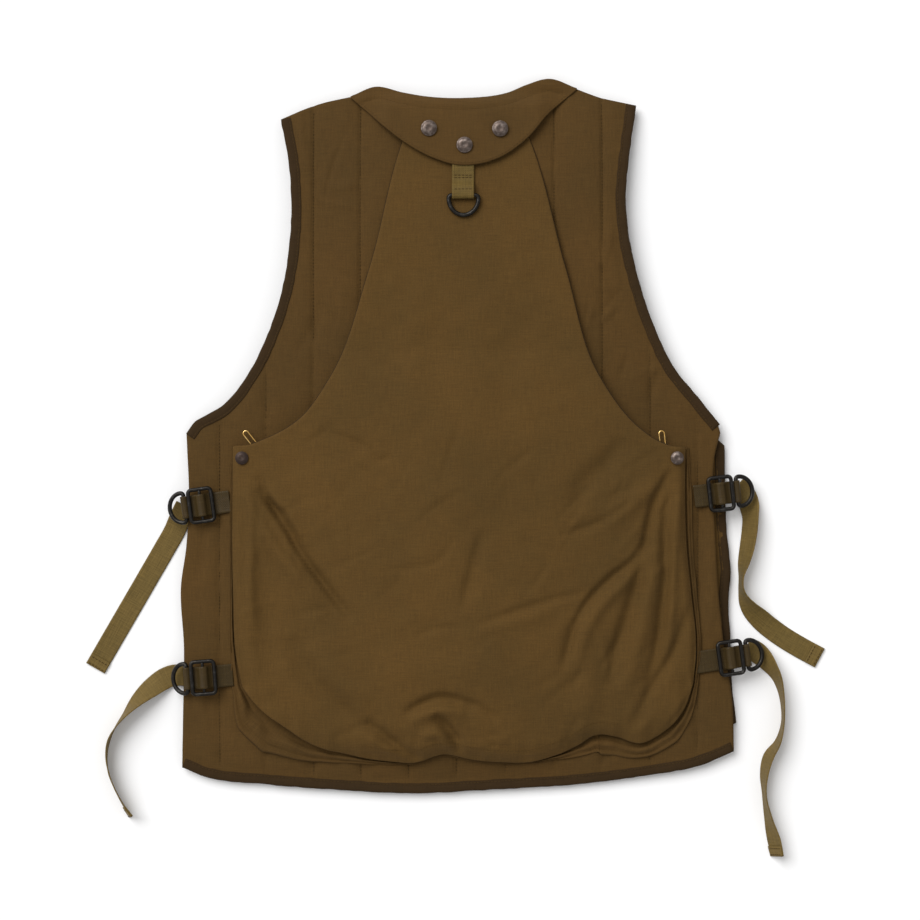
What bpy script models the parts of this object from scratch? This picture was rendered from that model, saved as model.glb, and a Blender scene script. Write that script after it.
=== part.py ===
"""Fishing vest lying on its front, back up. Metres, +X to the right, +Y to the collar, +Z up.

The layers are stacked from the floor: pocket flaps and pockets, front panels, the space for
the body, the quilted back, the space of the rear pouch, the pouch cover, the yoke.
Each layer's height is a function of x and y that starts from the layer below it.
"""
import math

import bmesh
import bpy
import numpy as np
from mathutils import Vector

# ---- overall size, and the pattern block that the outlines are graded from
VEST_WIDTH = 0.557
VEST_LENGTH = 0.716
BLOCK_WIDTH = 0.557
BLOCK_LENGTH = 0.716

# ---- cloth and webbing
FRONT_THICK = 0.0030
BACK_THICK = 0.0036
COVER_THICK = 0.0015
YOKE_THICK = 0.0018
POCKET_THICK = 0.0015
BINDING_WIDTH = 0.0096
BINDING_PROUD = 0.0006
GUSSET_THICK = 0.0012
WEB_THICK = 0.0012
STRAP_WIDTH = 0.0222
TAB_WIDTH = 0.0220
TAIL_WIDTH = 0.0215

# ---- heights of the stack
EDGE_LIFT = 0.0006
FRONT_RISE = 0.0080
TORSO_GAP_EDGE = 0.0022
TORSO_RISE = 0.0105
POUCH_GAP_TOP = 0.0025
POUCH_DEPTH = 0.0085
POUCH_RISE = 0.0120
YOKE_GAP = 0.0040

# ---- metal
RING_WIDTH = 0.0340
RING_DEPTH = 0.0240
SIDE_RING_DEPTH = 0.0204
RING_WIRE = 0.0044
RING_CORNER = 0.0030
SLIDER_LENGTH = 0.0270
SLIDER_WIDTH = 0.0365
SLIDER_WIRE = 0.0040
SLIDER_BAR = 0.0030
SLIDER_CORNER = 0.0055
TILT_ROOM = 0.0012
CAP_RADIUS = 0.0081
CAP_HEIGHT = 0.0032
SMALL_CAP_RADIUS = 0.0066
STUD_RADIUS = 0.0050
POUCH_STUD_RADIUS = 0.0042
STUD_HEIGHT = 0.0014

# ---- zips
TAPE_WIDTH = 0.012
TAPE_THICK = 0.0008
CHAIN_WIDTH = 0.0044
CHAIN_HEIGHT = 0.0018
ZIP_BODY_LENGTH = 0.0100
ZIP_BODY_WIDTH = 0.0082
ZIP_BODY_WALL = 0.0010
ZIP_RUN = 0.0005
ZIP_LIFT = 0.0014
PULL_WIDTH = 0.0066
PULL_LENGTH = 0.0230
PULL_WIRE = 0.0014
POUCH_ZIP_RADIUS = 0.113
POUCH_ZIP_SPARE = 0.007
FRONT_ZIP_HALF = 0.0060
FRONT_TAPE_REACH = 0.0080
FRONT_SLIDER_BACK = 0.012
FRONT_BODY_TOP = 0.0022
ZIP_SPLIT = 0.00015
FRONT_ZIP_ENDS = [(0, -0.336), (0, 0.106)]

# ---- steps along the bound edges, the same for a binding and the panel beside it
HEM_STEPS = 16
ARMHOLE_STEPS = 12
FRONT_HEM_STEPS = 7
FRONT_SIDE_STEPS = 7
FRONT_ARMHOLE_STEPS = 10

# ---- clearances
SEAM = 0.0003
LAY = 0.0006

# ---- outlines of the pattern block, seen from the back
ARMHOLE_LEFT = [(-0.183, 0.318), (-0.175, 0.276), (-0.173, 0.201), (-0.179, 0.156), (-0.192, 0.111),
                (-0.213, 0.066), (-0.241, 0.030), (-0.272, 0.011)]
ARMHOLE_RIGHT = [(0.172, 0.332), (0.166, 0.291), (0.161, 0.231), (0.164, 0.201), (0.174, 0.156),
                 (0.189, 0.111), (0.211, 0.066), (0.236, 0.036), (0.256, 0.011)]
SIDE_LEFT = [(-0.283, -0.332), (-0.282, -0.280), (-0.281, -0.213), (-0.284, -0.149),
             (-0.279, -0.114), (-0.276, -0.060), (-0.278, 0.001)]
SIDE_RIGHT = [(0.271, -0.316), (0.269, -0.264), (0.262, -0.220), (0.256, -0.170), (0.252, -0.104),
              (0.250, -0.060), (0.251, -0.020), (0.257, 0.003)]
HEM = [(-0.283, -0.332), (-0.262, -0.341), (-0.200, -0.349), (-0.120, -0.355), (-0.061, -0.358),
       (0.036, -0.354), (0.114, -0.349), (0.178, -0.341), (0.240, -0.329), (0.271, -0.316)]
SHOULDER_LEFT = [(-0.183, 0.318), (-0.149, 0.332), (-0.112, 0.341)]
NECK = [(-0.112, 0.341), (-0.089, 0.350), (-0.061, 0.344), (-0.040, 0.340), (0.001, 0.338),
        (0.044, 0.344), (0.063, 0.352), (0.085, 0.358), (0.113, 0.3485)]
SHOULDER_RIGHT = [(0.113, 0.3485), (0.133, 0.341), (0.172, 0.332)]

FRONT_SIDE_LEFT = [(-0.272, -0.318), (-0.272, -0.150), (-0.268, -0.012)]
FRONT_ARMHOLE_LEFT = [(-0.268, -0.012), (-0.236, 0.018), (-0.205, 0.062), (-0.184, 0.112),
                      (-0.170, 0.170), (-0.165, 0.230), (-0.172, 0.300)]
FRONT_SIDE_RIGHT = [(0.273, -0.288), (0.269, -0.254), (0.267, -0.204), (0.265, -0.164),
                    (0.267, -0.141), (0.263, -0.093), (0.261, -0.010)]
FRONT_ARMHOLE_RIGHT = [(0.261, -0.010), (0.228, 0.022), (0.201, 0.064), (0.180, 0.112),
                       (0.163, 0.165), (0.153, 0.230), (0.162, 0.308)]
FRONT_HEM_LEFT = [(-0.272, -0.318), (-0.180, -0.334), (-0.006, -0.345)]
FRONT_HEM_RIGHT = [(0.273, -0.288), (0.190, -0.322), (0.006, -0.345)]
FRONT_NECK_LEFT = [(-0.006, 0.110), (-0.040, 0.190), (-0.085, 0.330)]
FRONT_NECK_RIGHT = [(0.006, 0.110), (0.040, 0.190), (0.082, 0.334)]

COVER_SIDE_LEFT = [(-0.227, -0.262), (-0.229, -0.140), (-0.231, -0.008)]
COVER_EDGE_LEFT = [(-0.231, -0.008), (-0.215, -0.011), (-0.202, -0.007), (-0.164, 0.016),
                   (-0.134, 0.056), (-0.094, 0.166), (-0.061, 0.294), (-0.052, 0.318)]
COVER_SIDE_RIGHT = [(0.224, -0.250), (0.228, -0.140), (0.224, -0.006)]
COVER_EDGE_RIGHT = [(0.224, -0.006), (0.209, -0.017), (0.176, 0.001), (0.136, 0.056),
                    (0.101, 0.166), (0.066, 0.294), (0.056, 0.318)]
COVER_BOTTOM = [(-0.227, -0.262), (-0.212, -0.279), (-0.164, -0.309), (-0.064, -0.321),
                (-0.014, -0.324), (0.096, -0.309), (0.136, -0.299), (0.176, -0.279), (0.224, -0.250)]

YOKE_HINGE_Y = 0.326
YOKE_EDGE = [(-0.0945, 0.3235), (-0.081, 0.311), (-0.061, 0.295), (-0.031, 0.278), (-0.008, 0.271),
             (0.014, 0.2715), (0.035, 0.278), (0.063, 0.298), (0.0845, 0.3235)]
YOKE_ENDS = (-0.0975, 0.0870)

# ---- places of the fasteners and fittings on the pattern block
YOKE_SNAPS = [(-0.035, 0.307), (0.036, 0.3065), (0.0005, 0.290)]
POUCH_SNAPS = {"left": (-0.2215, -0.022), "right": (0.2125, -0.022)}
POUCH_ZIPS = {"left": [(-0.2055, -0.0125), (-0.1280, 0.0520)],
              "right": [(0.1985, -0.0165), (0.1300, 0.0500)]}
PULL_HEADINGS = {"left": 128.0, "right": 96.0}
HANGER_CENTRE = [(0.0, 0.3045)]
HANGER_HALF_SPAN = 0.028
HANGER_SAG = 0.016
HANGER_WIDTH = 0.006
HANGER_STEPS = 10
TAB_TOP = (-0.001, 0.279)
TAB_BAR_Y = 0.2395
RING_OFFSET = 0.0005
TAB_SEWN_Y = 0.262
FRONT_POCKET = (0.050, 0.200, -0.280, -0.110)
POCKET_FLAP = (0.048, 0.202, -0.165, -0.108)
FLAP_SNAP_INSET = 0.012

# side straps: slider's centre, the way the strap heads, where it is sewn, the ring's height
STRAPS = {
    "left_top": {"slider": (-0.263, -0.0693), "heading": 188.0, "sewn_x": -0.2345, "lift": 0.0050},
    "left_bottom": {"slider": (-0.2605, -0.2415), "heading": 184.4, "sewn_x": -0.2315, "lift": 0.0085},
    "right_top": {"slider": (0.257, -0.0575), "heading": 6.5, "sewn_x": 0.2305, "lift": 0.0050},
    "right_bottom": {"slider": (0.267, -0.2220), "heading": 8.0, "sewn_x": 0.2315, "lift": 0.0050},
}
RING_DROOP = {"left_top": 13.0, "left_bottom": 24.0, "right_top": 13.0, "right_bottom": 13.0}

# strap tails: x, y, height of the lower edge, and roll (0 lies flat, 90 stands on its edge)
TAILS = {
    "left_top": [(-0.2800, -0.0700, 0.0030, 0), (-0.2860, -0.0820, 0.0012, 0),
                 (-0.2920, -0.0960, 0.0003, 0), (-0.3010, -0.1120, 0.0003, 0),
                 (-0.3180, -0.1415, 0.0003, 0), (-0.3380, -0.1760, 0.0003, 0),
                 (-0.3560, -0.2070, 0.0003, 0), (-0.3715, -0.2338, 0.0003, 0)],
    "left_bottom": [(-0.2820, -0.2405, 0.0060, 0), (-0.2930, -0.2410, 0.0024, 0),
                    (-0.3010, -0.2440, 0.0003, 8), (-0.3130, -0.2520, 0.0003, 25),
                    (-0.3240, -0.2610, 0.0003, 45), (-0.3330, -0.2700, 0.0003, 62),
                    (-0.3415, -0.2805, 0.0003, 78), (-0.3500, -0.2920, 0.0003, 86),
                    (-0.3565, -0.3050, 0.0003, 90), (-0.3590, -0.3200, 0.0003, 86),
                    (-0.3570, -0.3380, 0.0003, 80), (-0.3500, -0.3560, 0.0003, 80),
                    (-0.3430, -0.3690, 0.0003, 78), (-0.3340, -0.3820, 0.0003, 74)],
    "right_top": [(0.2745, -0.0500, 0.0030, 0), (0.2825, -0.0580, 0.0012, 5),
                  (0.2868, -0.0680, 0.0003, 25), (0.2880, -0.0800, 0.0003, 46),
                  (0.2870, -0.0960, 0.0003, 50), (0.2845, -0.1120, 0.0003, 54),
                  (0.2810, -0.1280, 0.0003, 66), (0.2785, -0.1420, 0.0003, 84),
                  (0.2790, -0.1560, 0.0003, 80), (0.2860, -0.1710, 0.0003, 48),
                  (0.2990, -0.1850, 0.0003, 16), (0.3180, -0.2000, 0.0003, 0),
                  (0.3390, -0.2130, 0.0003, 0), (0.3585, -0.2235, 0.0003, 0)],
    "right_bottom": [(0.2845, -0.2130, 0.0030, 0), (0.2930, -0.2165, 0.0012, 5),
                     (0.3010, -0.2230, 0.0003, 30), (0.3080, -0.2320, 0.0003, 52),
                     (0.3140, -0.2420, 0.0003, 68), (0.3180, -0.2550, 0.0003, 80),
                     (0.3203, -0.2720, 0.0003, 88), (0.3200, -0.2900, 0.0003, 90),
                     (0.3150, -0.3080, 0.0003, 82), (0.3060, -0.3220, 0.0003, 70),
                     (0.3015, -0.3400, 0.0003, 76), (0.3015, -0.3580, 0.0003, 86),
                     (0.3055, -0.3820, 0.0003, 76), (0.3120, -0.4080, 0.0003, 58),
                     (0.3150, -0.4220, 0.0003, 62)],
}

TAIL_STEPS = 34
ROLL_SCALE = 1e-6
COLLECTION = "fishing_vest"
CUTTERS = "cutters"


# ------------------------------------------------------------------ scene and materials
def empty_scene():
    for obj in list(bpy.data.objects):
        bpy.data.objects.remove(obj, do_unlink=True)
    made = {}
    for name in (COLLECTION, CUTTERS):
        made[name] = bpy.data.collections.new(name)
        bpy.context.scene.collection.children.link(made[name])
    return made


collections = empty_scene()


def material(name, colour, roughness, metallic):
    made = bpy.data.materials.new(name)
    made.use_nodes = True
    shader = made.node_tree.nodes["Principled BSDF"]
    shader.inputs["Base Color"].default_value = (*colour, 1)
    shader.inputs["Roughness"].default_value = roughness
    shader.inputs["Metallic"].default_value = metallic
    return made


SHELL = material("shell_cloth", (0.098, 0.058, 0.018), 0.85, 0)
BINDING = material("binding_tape", (0.050, 0.027, 0.011), 0.85, 0)
WEBBING = material("webbing", (0.130, 0.088, 0.030), 0.60, 0)
GUNMETAL = material("gunmetal", (0.030, 0.028, 0.027), 0.35, 1)
ANTIQUE = material("antique_snap", (0.150, 0.125, 0.105), 0.40, 1)
BRASS = material("brass", (0.700, 0.500, 0.220), 0.30, 1)
TAPE = material("zip_tape", (0.060, 0.045, 0.022), 0.80, 0)


# ------------------------------------------------------------------ heights of the layers
def graded(points):
    """Points of the pattern block at the vest's own size."""
    scale = np.array([VEST_WIDTH / BLOCK_WIDTH, VEST_LENGTH / BLOCK_LENGTH])
    return np.asarray(points, float) * scale


def smooth_step(value, start, end):
    t = min(max((value - start) / (end - start), 0.0), 1.0)
    return t * t * (3 - 2 * t)


BODY_HALF = graded((0.290, 0.3445))
POUCH_CENTRE = graded((-0.003, -0.140))
POUCH_HALF = graded((0.262, 0.225))
COVER_SLOPE = graded([(0, 0.30), (0, 0.06)])[:, 1]
YOKE_EAR = graded([(0.097, 0), (0.073, 0)])[:, 0]
YOKE_FADE = graded([(0, 0.350), (0, 0.328)])[:, 1]


def front_low(x, y):
    u = min(abs(x) / BODY_HALF[0], 1)
    v = min(abs(y) / BODY_HALF[1], 1)
    return EDGE_LIFT + FRONT_RISE * (1 - u ** 6) * (1 - v ** 6)


def front_high(x, y):
    return front_low(x, y) + FRONT_THICK


def back_low(x, y):
    u = min(abs(x) / BODY_HALF[0], 1)
    v = min(abs(y) / BODY_HALF[1], 1)
    return front_high(x, y) + TORSO_GAP_EDGE + TORSO_RISE * (1 - u * u) ** 2 * (1 - v ** 4)


def back_high(x, y):
    return back_low(x, y) + BACK_THICK


def pouch_gap(x, y):
    u = min(abs(x - POUCH_CENTRE[0]) / POUCH_HALF[0], 1)
    v = min(abs(y - POUCH_CENTRE[1]) / POUCH_HALF[1], 1)
    depth = (POUCH_DEPTH - POUCH_GAP_TOP) * smooth_step(y, *COVER_SLOPE)
    return POUCH_GAP_TOP + depth + POUCH_RISE * (1 - u * u) ** 2 * (1 - v ** 4)


def cover_low(x, y):
    return back_high(x, y) + pouch_gap(x, y)


def cover_high(x, y):
    return cover_low(x, y) + COVER_THICK


def yoke_low(x, y):
    over_cover = smooth_step(abs(x), *YOKE_EAR) * smooth_step(y, *YOKE_FADE)
    rise = pouch_gap(x, y) + COVER_THICK + YOKE_GAP - LAY
    return back_high(x, y) + LAY + over_cover * rise


def yoke_high(x, y):
    return yoke_low(x, y) + YOKE_THICK


def pocket_low(x, y):
    return front_low(x, y) - LAY - POCKET_THICK


def highest(surface, x, y, radius):
    """The surface's highest point under a round foot."""
    turns = [math.tau * i / 12 for i in range(12)]
    around = [surface(x + radius * math.cos(a), y + radius * math.sin(a)) for a in turns]
    return max(around + [surface(x, y)])


def crest_across(surface, x, y, half):
    """The surface's highest point under a strip that runs along y."""
    return max(surface(x + half * share, y) for share in (-1, -0.5, 0, 0.5, 1))


# ------------------------------------------------------------------ curves
def curve_through(points, count):
    """count + 1 evenly spaced points on a smooth curve through the given ones."""
    given = np.asarray(points, float)
    chord = np.r_[0, np.cumsum(np.linalg.norm(np.diff(given, axis=0), axis=1))]
    if len(given) == 2:
        share = np.linspace(0, 1, count + 1)[:, None]
        return given[0] * (1 - share) + given[1] * share
    slope = np.gradient(given, chord, axis=0)
    fine = np.linspace(0, chord[-1], 40 * len(given))
    span = np.clip(np.searchsorted(chord, fine, "right") - 1, 0, len(given) - 2)
    step = (chord[span + 1] - chord[span])[:, None]
    t = ((fine - chord[span])[:, None]) / step
    at = ((2 * t ** 3 - 3 * t ** 2 + 1) * given[span] + (t ** 3 - 2 * t ** 2 + t) * step * slope[span]
          + (3 * t ** 2 - 2 * t ** 3) * given[span + 1] + (t ** 3 - t ** 2) * step * slope[span + 1])
    run = np.r_[0, np.cumsum(np.linalg.norm(np.diff(at, axis=0), axis=1))]
    even = np.linspace(0, run[-1], count + 1)
    return np.stack([np.interp(even, run, at[:, i]) for i in range(at.shape[1])], axis=1)


def joined(*curves):
    """Curves end to end, each shared point once."""
    return np.concatenate([curves[0]] + [curve[1:] for curve in curves[1:]])


def side_of(points):
    """Unit normals to the left of a flat curve."""
    along = np.gradient(np.asarray(points)[:, :2], axis=0)
    along /= np.linalg.norm(along, axis=1)[:, None]
    return np.stack([-along[:, 1], along[:, 0]], axis=1)


def shifted(points, distance):
    return np.asarray(points)[:, :2] + side_of(points) * distance


def coons(bottom, right, top, left):
    """A grid of points between four boundary curves, rows from the bottom to the top."""
    u = np.linspace(0, 1, len(bottom))[None, :, None]
    v = np.linspace(0, 1, len(left))[:, None, None]
    rows = (1 - v) * bottom[None] + v * top[None]
    columns = (1 - u) * left[:, None] + u * right[:, None]
    corners = ((1 - u) * (1 - v) * bottom[0] + u * (1 - v) * bottom[-1]
               + (1 - u) * v * top[0] + u * v * top[-1])
    return rows + columns - corners


# ------------------------------------------------------------------ solids
def placed(name, mesh, finish):
    obj = bpy.data.objects.new(name, mesh)
    collections[COLLECTION].objects.link(obj)
    if not mesh.materials:
        mesh.materials.append(finish)
    return obj


def from_faces(name, points, faces, finish):
    """A closed body from a loft's points and faces, with its faces turned outward."""
    mesh = bpy.data.meshes.new(name)
    mesh.from_pydata([tuple(map(float, p)) for p in points], [], faces)
    work = bmesh.new()
    work.from_mesh(mesh)
    bmesh.ops.recalc_face_normals(work, faces=work.faces)
    work.to_mesh(mesh)
    work.free()
    return placed(name, mesh, finish)


def sheet(name, grid, low, thickness, finish):
    """Cloth: an open surface at the height low(x, y), extruded straight up."""
    rows, columns = grid.shape[:2]
    work = bmesh.new()
    corners = [work.verts.new((x, y, low(x, y))) for x, y in grid.reshape(-1, 2)]
    for r in range(rows - 1):
        for c in range(columns - 1):
            a = r * columns + c
            work.faces.new([corners[i] for i in (a, a + 1, a + columns + 1, a + columns)])
    raised = bmesh.ops.extrude_face_region(work, geom=work.faces[:])["geom"]
    bmesh.ops.translate(work, vec=(0, 0, thickness),
                        verts=[part for part in raised if isinstance(part, bmesh.types.BMVert)])
    bmesh.ops.recalc_face_normals(work, faces=work.faces)
    mesh = bpy.data.meshes.new(name)
    work.to_mesh(mesh)
    work.free()
    return placed(name, mesh, finish)


def loft(name, sections, finish):
    """Four-cornered sections joined in a row, with flat ends."""
    points = [corner for section in sections for corner in section]
    faces = [(3, 2, 1, 0)]
    for s in range(len(sections) - 1):
        for c in range(4):
            a, b = 4 * s + c, 4 * s + (c + 1) % 4
            # opposite sides are split along matching diagonals, so a twist keeps its thickness
            faces += [(a, b, b + 4), (a, b + 4, a + 4)] if c < 2 else [(a, b, a + 4), (b, b + 4, a + 4)]
    last = 4 * (len(sections) - 1)
    faces.append((last, last + 1, last + 2, last + 3))
    return from_faces(name, points, faces, finish)


def band(name, outer, inward, low, high, finish):
    """A strip along an edge: from the outer curve to inward beside it, from low to high."""
    inner = shifted(outer, inward)
    sections = []
    for (ox, oy), (ix, iy) in zip(outer, inner):
        sections.append(((ox, oy, low(ox, oy)), (ix, iy, low(ix, iy)),
                         (ix, iy, high(ix, iy)), (ox, oy, high(ox, oy))))
    return loft(name, sections, finish)


def ribbon(name, centres, sides, width, thickness, finish):
    """Flat webbing along a line; sides are unit vectors across it."""
    centres = np.asarray(centres, float)
    along = np.gradient(centres, axis=0)
    along /= np.linalg.norm(along, axis=1)[:, None]
    sections = []
    for centre, way, side in zip(centres, along, sides):
        across = Vector(side).normalized() * width / 2
        face = Vector(way).cross(across).normalized() * thickness / 2
        centre = Vector(centre)
        sections.append((centre - across - face, centre + across - face,
                         centre + across + face, centre - across + face))
    return loft(name, sections, finish)


def wire(name, points, thickness, finish):
    """A closed ring of round wire."""
    curve = bpy.data.curves.new(name, "CURVE")
    curve.dimensions = "3D"
    curve.bevel_depth = thickness / 2
    curve.bevel_resolution = 2
    curve.use_fill_caps = True
    spline = curve.splines.new("POLY")
    spline.points.add(len(points) - 1)
    for knot, point in zip(spline.points, points):
        knot.co = (*point, 1)
    spline.use_cyclic_u = True
    obj = bpy.data.objects.new(name, curve)
    collections[COLLECTION].objects.link(obj)
    curve.materials.append(finish)
    return obj


def mesh_of(obj):
    """The same object as a mesh, so that it can take a Boolean."""
    evaluated = obj.evaluated_get(bpy.context.evaluated_depsgraph_get())
    mesh = bpy.data.meshes.new_from_object(evaluated)
    work = bmesh.new()
    work.from_mesh(mesh)
    bmesh.ops.remove_doubles(work, verts=work.verts, dist=1e-6)
    work.to_mesh(mesh)
    work.free()
    name, place = obj.name, obj.matrix_world.copy()
    bpy.data.objects.remove(obj, do_unlink=True)
    made = bpy.data.objects.new(name, mesh)
    made.matrix_world = place
    collections[COLLECTION].objects.link(made)
    return made


def turned(name, profile, steps, finish):
    """A round body: a profile of (radius, height) from the top of its axis to the bottom."""
    mesh = bpy.data.meshes.new(name)
    mesh.from_pydata([(r, 0, z) for r, z in profile], [(i, i + 1) for i in range(len(profile) - 1)], [])
    obj = placed(name, mesh, finish)
    screw = obj.modifiers.new("turn", "SCREW")
    screw.steps = steps
    screw.render_steps = steps
    screw.use_merge_vertices = True
    screw.merge_threshold = 0.00001
    return obj


def pivoted(obj, hinge):
    """Hangs an object, modelled in place, on the empty that marks its joint's axis."""
    bpy.context.view_layer.update()
    obj.location = obj.location - hinge.location
    obj.parent = hinge
    return obj


def hinge_at(name, point):
    empty = bpy.data.objects.new(name, None)
    empty.location = point
    collections[COLLECTION].objects.link(empty)
    return empty


# ------------------------------------------------------------------ body of the vest
def back_panel():
    inset = BINDING_WIDTH + SEAM
    hem = shifted(curve_through(graded(HEM), HEM_STEPS), inset)
    arm_left = shifted(curve_through(graded(ARMHOLE_LEFT), ARMHOLE_STEPS), inset)[::-1]
    arm_right = shifted(curve_through(graded(ARMHOLE_RIGHT), ARMHOLE_STEPS), -inset)[::-1]
    side_left = curve_through(graded(SIDE_LEFT), 8)
    side_right = curve_through(graded(SIDE_RIGHT), 8)
    side_left[0] = hem[0]
    side_right[0] = hem[-1]
    side_left[-1] = arm_left[0]
    side_right[-1] = arm_right[0]
    neck = joined(curve_through(graded(SHOULDER_LEFT), 3), curve_through(graded(NECK), HEM_STEPS - 6),
                  curve_through(graded(SHOULDER_RIGHT), 3))
    neck[0] = arm_left[-1]
    neck[-1] = arm_right[-1]
    grid = coons(hem, joined(side_right, arm_right), neck, joined(side_left, arm_left))
    return sheet("back_panel", grid, back_low, BACK_THICK, SHELL)


def front_edge(sign, side_edge, armhole, hem, inset):
    """A front panel's bound edge from the zip along the hem and up to the shoulder, drawn in by inset."""
    edge = joined(curve_through(graded(hem)[::-1], FRONT_HEM_STEPS),
                  curve_through(graded(side_edge), FRONT_SIDE_STEPS),
                  curve_through(graded(armhole), FRONT_ARMHOLE_STEPS))
    return shifted(edge, sign * inset)


def front_panel(side, sign, side_edge, armhole, hem, neck):
    edge = front_edge(sign, side_edge, armhole, hem, BINDING_WIDTH + SEAM)
    hem_line, outer = edge[:FRONT_HEM_STEPS + 1], edge[FRONT_HEM_STEPS:]
    centre_line = curve_through([hem_line[0], graded([neck[0]])[0]], 9)
    inner = joined(centre_line, curve_through(graded(neck), len(outer) - 10))
    top = curve_through([outer[-1], inner[-1]], FRONT_HEM_STEPS)
    if sign < 0:
        grid = coons(hem_line[::-1], inner, top, outer)
    else:
        grid = coons(hem_line, outer, top[::-1], inner)
    return sheet("front_panel_" + side, grid, front_low, FRONT_THICK, SHELL)


def proud_of(low, high):
    """A binding's lower and upper surfaces, proud of the cloth that it wraps."""
    return (lambda x, y: low(x, y) - BINDING_PROUD), (lambda x, y: high(x, y) + BINDING_PROUD)


def bindings():
    low, high = proud_of(back_low, back_high)
    band("binding_hem", curve_through(graded(HEM), HEM_STEPS), BINDING_WIDTH, low, high, BINDING)
    band("binding_armhole_left", curve_through(graded(ARMHOLE_LEFT), ARMHOLE_STEPS), BINDING_WIDTH,
         low, high, BINDING)
    band("binding_armhole_right", curve_through(graded(ARMHOLE_RIGHT), ARMHOLE_STEPS), -BINDING_WIDTH,
         low, high, BINDING)
    low, high = proud_of(front_low, front_high)
    for side, sign, side_edge, armhole, hem in (
            ("left", -1, FRONT_SIDE_LEFT, FRONT_ARMHOLE_LEFT, FRONT_HEM_LEFT),
            ("right", 1, FRONT_SIDE_RIGHT, FRONT_ARMHOLE_RIGHT, FRONT_HEM_RIGHT)):
        edge = front_edge(sign, side_edge, armhole, hem, 0)
        band("binding_front_" + side, edge, sign * BINDING_WIDTH, low, high, BINDING)


def neck_facing():
    edge = shifted(curve_through(graded(NECK[1:-1]), 14), 0.0012)
    top = lambda x, y: back_low(x, y) - LAY
    band("neck_facing", edge, -0.022, lambda x, y: top(x, y) - 0.0008, top, BINDING)


def hanger_loop():
    x, y = graded(HANGER_CENTRE)[0]
    points = []
    for t in np.linspace(-1, 1, HANGER_STEPS + 1):
        px, py = x + HANGER_HALF_SPAN * t, y - HANGER_SAG * (1 - t * t)
        points.append((px, py, back_low(px, py) - 2 * LAY - WEB_THICK / 2))
    sides = [(px, py, 0) for px, py in side_of(points)]
    ribbon("hanger_loop", points, sides, HANGER_WIDTH, WEB_THICK, WEBBING)


# ------------------------------------------------------------------ rear pouch
def cover_bottom():
    return curve_through(graded(COVER_BOTTOM), 14)


def pouch_cover():
    left = joined(curve_through(graded(COVER_SIDE_LEFT), 7), curve_through(graded(COVER_EDGE_LEFT), 10))
    right = joined(curve_through(graded(COVER_SIDE_RIGHT), 7),
                   curve_through(graded(COVER_EDGE_RIGHT), 10))
    top = curve_through([left[-1], right[-1]], 14)
    return sheet("pouch_cover", coons(cover_bottom(), right, top, left), cover_low, COVER_THICK, SHELL)


def pouch_gusset():
    wall = joined(curve_through(graded(COVER_SIDE_LEFT)[::-1], 7)[1:],
                  curve_through(graded(COVER_BOTTOM), 20),
                  curve_through(graded(COVER_SIDE_RIGHT), 7)[:-1])
    band("pouch_gusset", wall, GUSSET_THICK, lambda x, y: back_high(x, y) + LAY,
         lambda x, y: cover_low(x, y) - LAY, SHELL)


def snap(name, x, y, base, radius, height, finish):
    """A domed cap whose flat foot lies at the height base."""
    profile = [(0.0, height), (0.45 * radius, 0.90 * height), (0.80 * radius, 0.62 * height),
               (radius, 0.25 * height), (radius, 0.0), (0.0, 0.0)]
    cap = turned(name, profile, 14, finish)
    cap.location = (x, y, base)
    return cap


def stud(name, x, y, base, radius, height):
    disc = turned(name, [(0.0, height), (radius, height), (radius, 0.0), (0.0, 0.0)], 12, ANTIQUE)
    disc.location = (x, y, base)
    return disc


def pouch_snaps():
    for side, place in POUCH_SNAPS.items():
        x, y = graded([place])[0]
        snap("pouch_snap_" + side, x, y, highest(cover_high, x, y, SMALL_CAP_RADIUS) + LAY,
             SMALL_CAP_RADIUS, CAP_HEIGHT * 0.8, ANTIQUE)
        base = highest(back_high, x, y, POUCH_STUD_RADIUS) + LAY
        roof = cover_low(x, y) - 2 * LAY
        stud("pouch_stud_" + side, x, y, base, POUCH_STUD_RADIUS, roof - base)


# ------------------------------------------------------------------ zips
def zip_section():
    """The tape with its chain in the middle, as corners across the zip."""
    half, chain = TAPE_WIDTH / 2, CHAIN_WIDTH / 2
    return [(-half, 0), (half, 0), (half, TAPE_THICK), (chain, TAPE_THICK), (chain, CHAIN_HEIGHT),
            (-chain, CHAIN_HEIGHT), (-chain, TAPE_THICK), (-half, TAPE_THICK)]


def swept(name, frames, section, finish):
    """A constant section carried along frames of (origin, across, up)."""
    points, faces = [], []
    count = len(section)
    for origin, across, up in frames:
        points += [origin + across * a + up * b for a, b in section]
    for s in range(len(frames) - 1):
        for c in range(count):
            a, b = s * count + c, s * count + (c + 1) % count
            faces.append((a, b, b + count, a + count))
    faces.append(tuple(range(count))[::-1])
    faces.append(tuple(range((len(frames) - 1) * count, len(frames) * count)))
    return from_faces(name, points, faces, finish)


def zip_body_section():
    """The slider across the zip: a roof and two cheeks around the chain, open below."""
    half = ZIP_BODY_WIDTH / 2
    chain = CHAIN_WIDTH / 2 + ZIP_RUN
    foot = TAPE_THICK + ZIP_RUN
    roof = CHAIN_HEIGHT + ZIP_RUN
    crest = roof + ZIP_BODY_WALL
    return [(-half, foot), (-chain, foot), (-chain, roof), (chain, roof), (chain, foot), (half, foot),
            (half, crest), (-half, crest)]


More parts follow.
